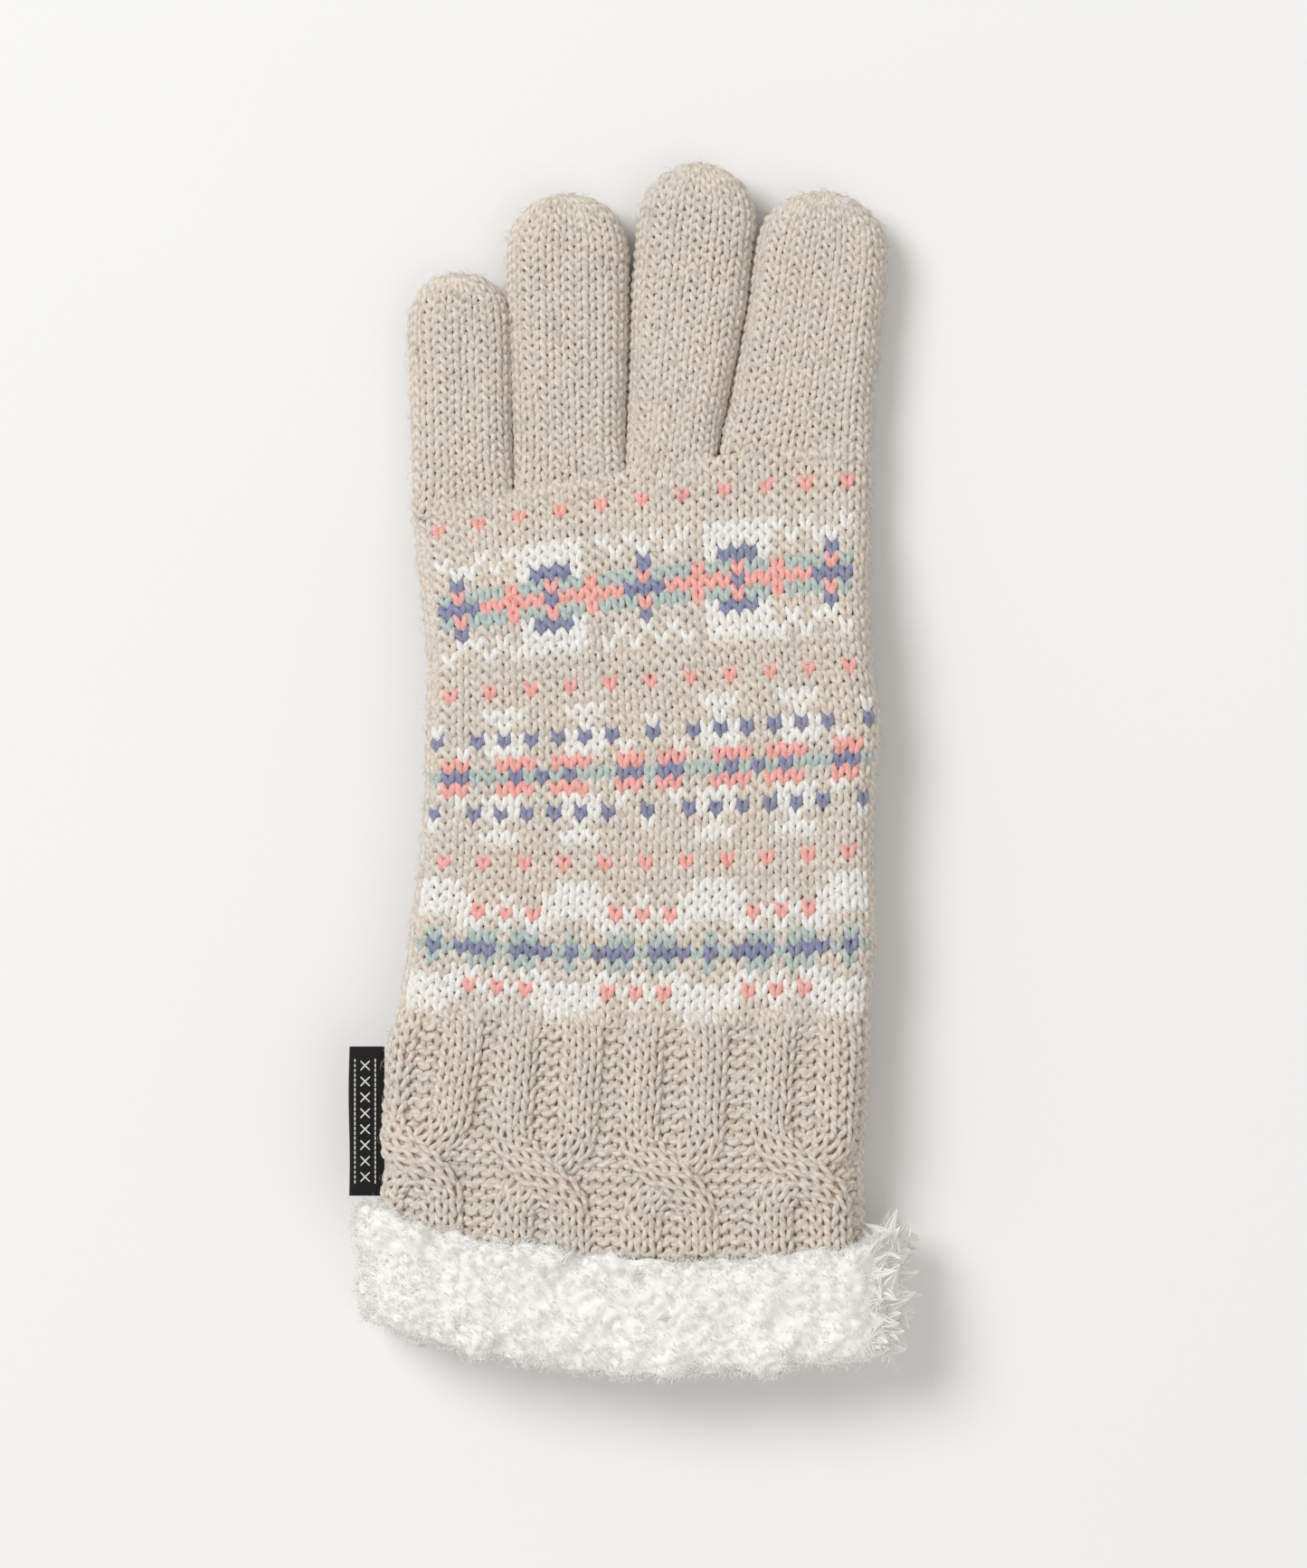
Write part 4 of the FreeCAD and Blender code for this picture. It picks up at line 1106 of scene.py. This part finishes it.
def arc_y(x, points):
    """Height on the circle through three points."""
    (x1, y1), (x2, y2), (x3, y3) = points
    below = 2 * (x1 * (y2 - y3) + x2 * (y3 - y1) + x3 * (y1 - y2))
    s1, s2, s3 = x1 * x1 + y1 * y1, x2 * x2 + y2 * y2, x3 * x3 + y3 * y3
    cx = (s1 * (y2 - y3) + s2 * (y3 - y1) + s3 * (y1 - y2)) / below
    cy = (s1 * (x3 - x2) + s2 * (x1 - x3) + s3 * (x2 - x1)) / below
    radius = math.hypot(x1 - cx, y1 - cy)
    return cy - np.sqrt(np.maximum(radius ** 2 - (x - cx) ** 2, 0))


def lumps(points, seed, size, count=26):
    """Smooth uneven values, about -1 to 1, from summed waves of about one size in millimetres."""
    random = np.random.default_rng(seed)
    total = np.zeros(points.shape[:-1])
    for _ in range(count):
        wave = unit(random.normal(0, 1, 3)) * 2 * math.pi / (size * random.uniform(0.7, 1.5))
        total += np.sin(points @ wave + random.uniform(0, 2 * math.pi))
    return total / math.sqrt(count) * 1.1


def fleece_material():
    if "fleece_pile" in bpy.data.materials:
        return bpy.data.materials["fleece_pile"]
    material, tree, shader = new_material("fleece_pile", 1.0, 0.08, 0.05)
    tint = tuple(bpy.context.scene.glove_colours.fleece)
    coordinates = tree.nodes.new("ShaderNodeTexCoord")
    fine = noise(tree, coordinates.outputs["Object"], 1500.0, 3.0)
    soft = mix_colour(tree, map_range(tree, fine, 0.3, 0.7, 0.0, 1.0), shade(tint, 0.8), shade(tint, 0.86))
    tree.links.new(soft, shader.inputs["Base Color"])
    # Painted light: the pile glows faintly in its own colour, standing in for light bouncing between the
    # curls, and its base colour is set lower to make up for it.
    shader.inputs["Emission Color"].default_value = tint + (1.0,)
    shader.inputs["Emission Strength"].default_value = 0.12
    bump(tree, shader, fine, 0.2, 0.15)
    return material


def ring_grid(rings, count):
    """Points of a closed ring surface. rings holds functions of q that give (count, 3) points."""
    q = np.arange(count) / count
    points = np.stack([ring(q) for ring in rings])
    line = np.arange(len(rings) - 1)[:, None]
    column = np.arange(count)[None]
    first = line * count + column
    second = line * count + (column + 1) % count
    quads = np.stack([first, second, second + count, first + count], axis=-1).reshape(-1, 4)
    return points, quads


def surface_normals(points):
    along = np.gradient(points, axis=0)
    around = np.roll(points, -1, axis=1) - np.roll(points, 1, axis=1)
    return unit(np.cross(around, along))


def tufts(points, normals, count, reach, curl, random, thick=0.3, sides=4, steps=6, per=5):
    """Curly locks of pile rooted on a surface grid, each made of a few strands."""
    rows, columns, _ = points.shape
    row = random.uniform(0.5, rows - 1.5, count)
    column = random.integers(0, columns, count)
    low = np.floor(row).astype(int)
    part = (row - low)[:, None]
    root = points[low, column] * (1 - part) + points[low + 1, column] * part
    normal = unit(normals[low, column] * (1 - part) + normals[low + 1, column] * part)
    lean = random.normal(0, 1, (count, 3))
    lean = unit(lean - normal * np.sum(lean * normal, axis=-1, keepdims=True))
    other = np.cross(normal, lean)
    total = count * per
    root = np.repeat(root, per, axis=0) + random.normal(0, 0.45, (total, 3))
    normal = np.repeat(normal, per, axis=0)
    lean = unit(np.repeat(lean, per, axis=0) + random.normal(0, 0.35, (total, 3)))
    other = np.repeat(other, per, axis=0)
    size = np.repeat(random.uniform(0.6, 1.25, (count, 1)), per, axis=0) * reach
    size = size * random.uniform(0.75, 1.15, (total, 1))
    phase = np.repeat(random.uniform(0, 2 * math.pi, (count, 1)), per, axis=0)
    phase = phase + random.normal(0, 0.4, (total, 1))
    part = np.linspace(0, 1, steps)[None, :, None]
    turn = phase[:, None] + part * curl
    swirl = 0.32 * size[:, None] * part * (lean[:, None] * np.cos(turn) + other[:, None] * np.sin(turn))
    paths = (root[:, None] + normal[:, None] * size[:, None] * (part - 0.32 * part ** 2 - 0.1)
             + lean[:, None] * size[:, None] * 0.5 * part ** 1.6 + swirl)
    taper = thick * (1.0 - 0.75 * np.linspace(0, 1, steps) ** 1.5)[None]
    widths = taper * random.uniform(0.7, 1.2, (total, 1))
    ups = np.broadcast_to(normal[:, None], paths.shape)
    return strand_tubes(paths, ups, widths, sides, False)


def settled(points, soft=0.8):
    """Pile that would reach below the surface that the glove lies on is pressed flat on it."""
    points = np.array(points)
    height = points[..., 2]
    points[..., 2] = np.where(height < soft, soft * np.exp(np.minimum(height - soft, 0) / soft), height)
    return points


class GLOVE_OT_fleece(bpy.types.Operator):
    """Grow the curly trim, the fleece inside the cuff and the line of stitches that holds it"""
    bl_idname = "glove.fleece"
    bl_label = "Fleece and hem"

    def execute(self, context):
        pile = fleece_material()
        random = np.random.default_rng(yarn_settings().seed)
        middle_x = (TRIM_LOW[0] + TRIM_HIGH[0]) / 2
        level = (TRIM_LOW[2] + TRIM_HIGH[2]) / 2
        half_width = (TRIM_HIGH[0] - TRIM_LOW[0]) / 2
        half_depth = (TRIM_HIGH[2] - TRIM_LOW[2]) / 2

        def trim_ring(inset, share_down):
            def ring(q):
                a = half_width - inset - 3.8 * min(1.0, max(0.0, (inset - 4.0) / 1.2))
                b = half_depth - inset
                across, up = full_ring(q, a, b, b)
                x = middle_x + across
                top = arc_y(x, TRIM_TOP)
                bottom = arc_y(x, TRIM_BOTTOM)
                return np.stack([x, top + (bottom - top) * share_down, level + up], axis=-1)
            return ring
        outline = [(5.2, 0.2), (5.0, 0.08), (4.2, 0.02), (3.1, 0.03), (2.3, 0.1), (1.9, 0.22), (1.7, 0.36),
                   (1.6, 0.5), (1.7, 0.64), (1.9, 0.77), (2.5, 0.88), (3.4, 0.95), (4.8, 0.975),
                   (6.4, 0.95), (7.3, 0.86), (7.4, 0.7), (7.4, 0.5)]
        lines = 120
        detail = np.interp(np.linspace(0, len(outline) - 1, lines), np.arange(len(outline)),
                           [pair[0] for pair in outline])
        down = np.interp(np.linspace(0, len(outline) - 1, lines), np.arange(len(outline)),
                         [pair[1] for pair in outline])
        points, quads = ring_grid([trim_ring(i, d) for i, d in zip(detail, down)], 520)
        normals = surface_normals(points)
        if normals[lines // 2, 130][2] < 0:
            normals = -normals
        curls = 0.55 * lumps(points, 4, 9.0) + 0.5 * np.abs(lumps(points, 5, 4.5))
        swell = 0.7 * lumps(points, 3, 17.0) + curls + 0.14 * lumps(points, 6, 1.9) - 0.75
        points = points + normals * swell[..., None]
        parts = [(settled(points), quads, np.zeros((points.size // 3, 3)), np.zeros(len(quads)))]
        for strands, faces, coordinates in (
                tufts(points[:-12], normals[:-12], 8000, 1.7, 4.5, random, thick=0.1, sides=3, steps=5,
                      per=3),
                self.points_of_pile(points, normals, random)):
            parts.append((settled(strands), faces, coordinates, np.zeros(faces.shape[0] * faces.shape[1])))
        piece = join_parts("fleece_trim_pile", parts, [pile])
        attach(piece, "cuff")
        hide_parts("fleece_trim")

        low, high = box_mm("fleece_lining")
        centre = (low + high) / 2
        size = (high - low) / 2

        def lining_ring(inset, y):
            def ring(q):
                across, up = full_ring(q, size[0] - inset, size[2] - inset, size[2] - inset)
                return np.stack([centre[0] + across, np.full_like(q, y), centre[2] + up], axis=-1)
            return ring
        steps = [lining_ring(0.3, y) for y in np.linspace(high[1], low[1] + 1, 20)]
        steps += [lining_ring(1.6, y) for y in np.linspace(low[1], high[1] - 0.5, 24)]
        points, quads = ring_grid(steps, 300)
        normals = surface_normals(points)
        if normals[4, 75][2] < 0:
            normals = -normals
        points = points + normals * (0.25 * lumps(points, 8, 3.0))[..., None]
        strands, faces, coordinates = tufts(points[21:], normals[21:], 1500, 1.5, 5.0, random,
                                            thick=0.26, per=3)
        piece = join_parts("fleece_lining_pile", [
            (points, quads, np.zeros((points.size // 3, 3)), np.zeros(len(quads))),
            (strands, faces, coordinates, np.zeros(faces.shape[0] * faces.shape[1]))], [pile])
        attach(piece, "cuff")
        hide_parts("fleece_lining")
        hem_stitches()
        return {"FINISHED"}

    def points_of_pile(self, points, normals, random):
        """Longer locks drawn out to points, mostly at the inner end of the trim."""
        flat = points[:-20].reshape(-1, 3)
        outward = normals[:-20].reshape(-1, 3)
        weight = np.where(flat[:, 0] > 50.0, 60.0, 1.0) * (outward[:, 2] > -0.3)
        locks = 90
        per = 16
        steps = 6
        chosen = random.choice(len(flat), locks, replace=False, p=weight / weight.sum())
        root = np.repeat(flat[chosen], per, axis=0)
        normal = np.repeat(outward[chosen], per, axis=0)
        aside = np.repeat(random.normal(0, 1, (locks, 3)), per, axis=0)
        aim_way = unit(normal + 0.5 * aside * (1, 1, 0.4))
        size = np.repeat(random.uniform(1.8, 4.6, (locks, 1)), per, axis=0)
        size = size * np.where(root[:, :1] > 48.0, 1.25, 0.7)
        spread = random.normal(0, 0.75, (locks * per, 3))
        part = np.linspace(0, 1, steps)[None, :, None]
        sway = np.repeat(random.normal(0, 0.8, (locks, 3)), per, axis=0)
        paths = (root[:, None] - normal[:, None] * 0.5 + spread[:, None] * (1 - part) ** 0.8
                 + aim_way[:, None] * size[:, None] * part + sway[:, None] * part ** 2)
        widths = 0.24 * (1 - 0.8 * np.linspace(0, 1, steps))[None] * np.ones((locks * per, 1))
        ups = np.broadcast_to(normal[:, None], paths.shape)
        return strand_tubes(paths, ups, widths, 4, False)


def hem_stitches():
    """Short slanted stitches all round the hem, each a piece of two-ply thread."""
    material = thread_material()
    low, high = box_mm("hem_stitching")
    centre = (low + high) / 2
    size = (high - low) / 2
    count = 70
    steps = 7
    thread = 0.28
    q = (np.arange(count)[:, None] + np.linspace(0.1, 0.85, steps)[None]) / count
    rise = np.sin(np.linspace(0, math.pi, steps))[None] * 0.3
    across, up = full_ring(q, size[0] - 0.75 + rise, size[2] - 0.75 + rise, size[2] - 0.75)
    slant = np.linspace(-0.5, 0.5, steps)[None] * 1.1
    paths = np.stack([centre[0] + across, centre[1] + slant + 0 * q, centre[2] + up], axis=-1)
    ups = unit(np.stack([across * 0.05, 0 * q, up], axis=-1))
    widths = np.full((count, steps), thread)
    tube, quads, strand = strand_tubes(paths, ups, widths, 6, False, twist=3.0, depth=0.15)
    piece = new_piece("hem_stitches", tube, quads, [material], None, strand)
    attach(piece, "cuff")
    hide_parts("hem_stitching")


def thread_material():
    if "thread" in bpy.data.materials:
        return bpy.data.materials["thread"]
    material, tree, shader = new_material("thread", 0.6, 0.1, 0.4)
    group = tree.nodes.new("ShaderNodeGroup")
    group.node_tree = bpy.data.node_groups["Spun fibres"]
    group.inputs["Fibre scale"].default_value = 5.0
    tint = mix_colour(tree, group.outputs["Dark fibres"], linear(0.9, 0.89, 0.86) + (1.0,),
                      linear(0.75, 0.73, 0.69) + (1.0,))
    tree.links.new(tint, shader.inputs["Base Color"])
    bump(tree, shader, group.outputs["Height"], 0.5, 0.1)
    return material


# ---------------------------------------------------------------- the label


def label_material():
    """Black ribbon: fine weft ribs crossed by a looser warp, with painted highlight on the raised threads,
    painted shade between them, and uneven slub.
    """
    material, tree, shader = new_material("label_ribbon", 0.62, 0.08, 0.3)
    tint = tuple(bpy.context.scene.glove_colours.label)
    coordinates = tree.nodes.new("ShaderNodeTexCoord")
    parts = tree.nodes.new("ShaderNodeSeparateXYZ")
    tree.links.new(coordinates.outputs["Object"], parts.inputs[0])
    weft = math_node(tree, "SINE", math_node(tree, "MULTIPLY", parts.outputs[1], 18000.0))
    warp = math_node(tree, "SINE", math_node(tree, "MULTIPLY", parts.outputs[0], 26000.0))
    weave = math_node(tree, "MULTIPLY", weft, warp)
    slub = noise(tree, coordinates.outputs["Object"], 700.0, 4.0)
    height = math_node(tree, "ADD", weave, slub)
    # Painted highlight and shade: the colour follows the weave's height, lighter on raised threads and darker
    # between them; the slub adds uneven tone.
    weave_highlight_and_shade = mix_colour(tree, map_range(tree, height, -0.6, 1.6, 0.0, 1.0), shade(tint, 0.7), shade(tint, 1.7))
    tree.links.new(weave_highlight_and_shade, shader.inputs["Base Color"])
    bump(tree, shader, height, 0.5, 0.12)
    return material


class GLOVE_OT_label(bpy.types.Operator):
    """Make the black ribbon label, folded in two at its outer edge, with a plain woven ornament"""
    bl_idname = "glove.label"
    bl_label = "Label"

    def execute(self, context):
        low, high = box_mm("woven_label")
        middle = (low + high) / 2
        thick = 0.22
        gap = max((high[2] - low[2]) / 2 - thick, 0.15)
        fold = low[0] + gap + thick
        path = [(high[0], gap)]
        path += [(x, gap) for x in np.linspace(high[0], fold, 14)[1:]]
        path += [(fold - gap * math.sin(a), gap * math.cos(a)) for a in np.linspace(0, math.pi, 9)[1:-1]]
        path += [(x, -gap) for x in np.linspace(fold, high[0], 14)]
        path = np.array(path)
        heading = unit(np.gradient(path, axis=0))
        outward = np.stack([heading[:, 1], -heading[:, 0]], axis=-1)
        if outward[3][1] < 0:
            outward = -outward
        section = np.concatenate([path + outward * thick, (path - outward * thick)[::-1]])
        steps = 60
        lines = np.linspace(low[1] + 0.1, high[1] - 0.1, steps)
        count = len(section)
        wave = 0.12 * np.sin(np.linspace(0, 7.0, steps))[:, None]
        bow = 0.18 * np.sin(np.linspace(0, 9.0, steps))[:, None]
        across = section[None, :, 0]
        points = np.stack([
            across + wave * (across < middle[0]),
            np.broadcast_to(lines[:, None], (steps, count)),
            middle[2] + section[None, :, 1] + bow * ((high[0] - across) / 7.0)], axis=-1)
        line = np.arange(steps - 1)[:, None]
        column = np.arange(count)[None]
        first = line * count + column
        second = line * count + (column + 1) % count
        quads = np.stack([first, second, second + count, first + count], axis=-1).reshape(-1, 4)
        half = count // 2
        caps = []
        for base in (0, (steps - 1) * count):
            for step in range(half - 1):
                corners = [base + step, base + step + 1, base + count - 2 - step, base + count - 1 - step]
                caps.append(corners if base else corners[::-1])
        quads = np.concatenate([quads, np.array(caps)])
        ribbon = new_piece("label_ribbon", points, quads, [label_material()])
        self.ornament(low, high, middle[2] + gap + thick)
        for name in ("label_ribbon", "label_ornament"):
            piece = bpy.data.objects[name]
            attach(piece, "label")
        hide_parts("woven_label")
        return {"FINISHED"}

    def ornament(self, low, high, top):
        """A column of small crosses between two dotted lines, woven in white."""
        strokes = []
        x = (low[0] + high[0]) / 2 - 0.3
        size = 0.95
        for y in np.linspace(low[1] + 4.0, high[1] - 4.0, 8):
            strokes.append(((x - size, y - size), (x + size, y + size)))
            strokes.append(((x - size, y + size), (x + size, y - size)))
        for y in np.linspace(low[1] + 3.0, high[1] - 3.0, 26):
            for edge in (-2.1, 2.1):
                strokes.append(((x + edge, y - 0.32), (x + edge, y + 0.32)))
        part = np.linspace(0, 1, 5)
        paths = []
        for (x1, y1), (x2, y2) in strokes:
            paths.append(np.stack([x1 + (x2 - x1) * part, y1 + (y2 - y1) * part,
                                   top + 0.16 * np.sin(part * math.pi)], axis=-1))
        paths = np.array(paths)
        ups = np.broadcast_to(np.array([0.0, 0.0, 1.0]), paths.shape)
        widths = np.full(paths.shape[:2], 0.15)
        tube, quads, strand = strand_tubes(paths, ups, widths, 6, False)
        new_piece("label_ornament", tube, quads, [thread_material()], None, strand)


# ---------------------------------------------------------------- the studio


FLOOR_HALF = 2500.0
AIR_STRENGTH = 0.55
# name, place in metres, size in metres, power in watts and colour
LAMPS = (
    ("key_light", (-1.5, 1.1, 2.4), 1.55, 53.0, (0.985, 0.992, 1.0)),
    ("fill_light", (0.9, -0.7, 2.2), 1.6, 5.0, (1.0, 0.98, 0.95)),
)
SENSOR_WIDTH = 36.0
CAMERA_SPOT = (0.00505, -0.0024)
CAMERA_DISTANCE = 1.5
GLOVE_LEVEL = 0.012
VIEW_HEIGHT = 0.3243


class GLOVE_OT_stage(bpy.types.Operator):
    """Add the floor, the lights and the camera"""
    bl_idname = "glove.stage"
    bl_label = "Studio"

    def execute(self, context):
        scene = context.scene
        floor_material, tree, shader = new_material("studio_paper", 0.9, 0.0)
        tint = tuple(scene.glove_colours.floor) + (1.0,)
        coordinates = tree.nodes.new("ShaderNodeTexCoord")
        mottling = map_range(tree, noise(tree, coordinates.outputs["Object"], 9.0, 2.0), 0.3, 0.7, 0.0, 1.0)
        tree.links.new(mix_colour(tree, mottling, tint, shade(tint[:3], 0.995)), shader.inputs["Base Color"])
        half = FLOOR_HALF
        corners = [(-half, -half, 0), (half, -half, 0), (half, half, 0), (-half, half, 0)]
        floor = new_piece("studio_floor", corners, [(0, 1, 2, 3)], [floor_material])

        world = bpy.data.worlds.new("studio_air")
        world.use_nodes = True
        world.node_tree.nodes["Background"].inputs["Color"].default_value = (1.0, 0.98, 0.95, 1.0)
        world.node_tree.nodes["Background"].inputs["Strength"].default_value = AIR_STRENGTH
        scene.world = world
        for name, spot, size, power, tint in LAMPS:
            lamp = bpy.data.lights.new(name, "AREA")
            lamp.shape = "DISK"
            lamp.size = size
            lamp.energy = power
            lamp.color = tint
            holder = bpy.data.objects.new(name, lamp)
            holder.location = spot
            direction = -np.array(spot)
            holder.rotation_euler = aim(direction)
            scene.collection.objects.link(holder)

        camera = bpy.data.cameras.new("camera")
        camera.sensor_width = SENSOR_WIDTH
        camera.lens = SENSOR_WIDTH * CAMERA_DISTANCE / VIEW_HEIGHT
        camera.clip_start = 0.05
        camera.clip_end = 20.0
        holder = bpy.data.objects.new("camera", camera)
        holder.location = CAMERA_SPOT + (CAMERA_DISTANCE + GLOVE_LEVEL,)
        scene.collection.objects.link(holder)
        scene.camera = holder
        scene.view_settings.view_transform = "Standard"
        return {"FINISHED"}


def aim(direction):
    """Turns that point a light along a direction."""
    x, y, z = direction / np.linalg.norm(direction)
    tilt = math.acos(max(-1.0, min(1.0, -z)))
    heading = math.atan2(x, -y) + math.pi
    return (tilt, 0.0, heading)


# ---------------------------------------------------------------- add-on


class GLOVE_PT_panel(bpy.types.Panel):
    """The glove's settings and operators"""
    bl_label = "Knitted glove"
    bl_idname = "GLOVE_PT_panel"
    bl_space_type = "VIEW_3D"
    bl_region_type = "UI"
    bl_category = "Glove"

    def draw(self, context):
        for settings in (context.scene.glove_yarn, context.scene.glove_colours):
            for name in settings.bl_rna.properties.keys():
                if name not in ("rna_type", "name"):
                    self.layout.prop(settings, name)
        for operator in OPERATORS:
            self.layout.operator(operator.bl_idname)


OPERATORS = (GLOVE_OT_stage, GLOVE_OT_hand, GLOVE_OT_fingers, GLOVE_OT_thumb, GLOVE_OT_cuff,
             GLOVE_OT_seams, GLOVE_OT_fleece, GLOVE_OT_label)
CLASSES = (GloveYarn, GloveColours) + OPERATORS + (GLOVE_PT_panel,)


def register():
    for item in CLASSES:
        bpy.utils.register_class(item)
    bpy.types.Scene.glove_yarn = bpy.props.PointerProperty(type=GloveYarn)
    bpy.types.Scene.glove_colours = bpy.props.PointerProperty(type=GloveColours)


def unregister():
    del bpy.types.Scene.glove_colours
    del bpy.types.Scene.glove_yarn
    for item in reversed(CLASSES):
        bpy.utils.unregister_class(item)


def main():
    register()
    for operator in OPERATORS:
        group, name = operator.bl_idname.split(".")
        getattr(getattr(bpy.ops, group), name)()


if __name__ == "__main__":
    main()
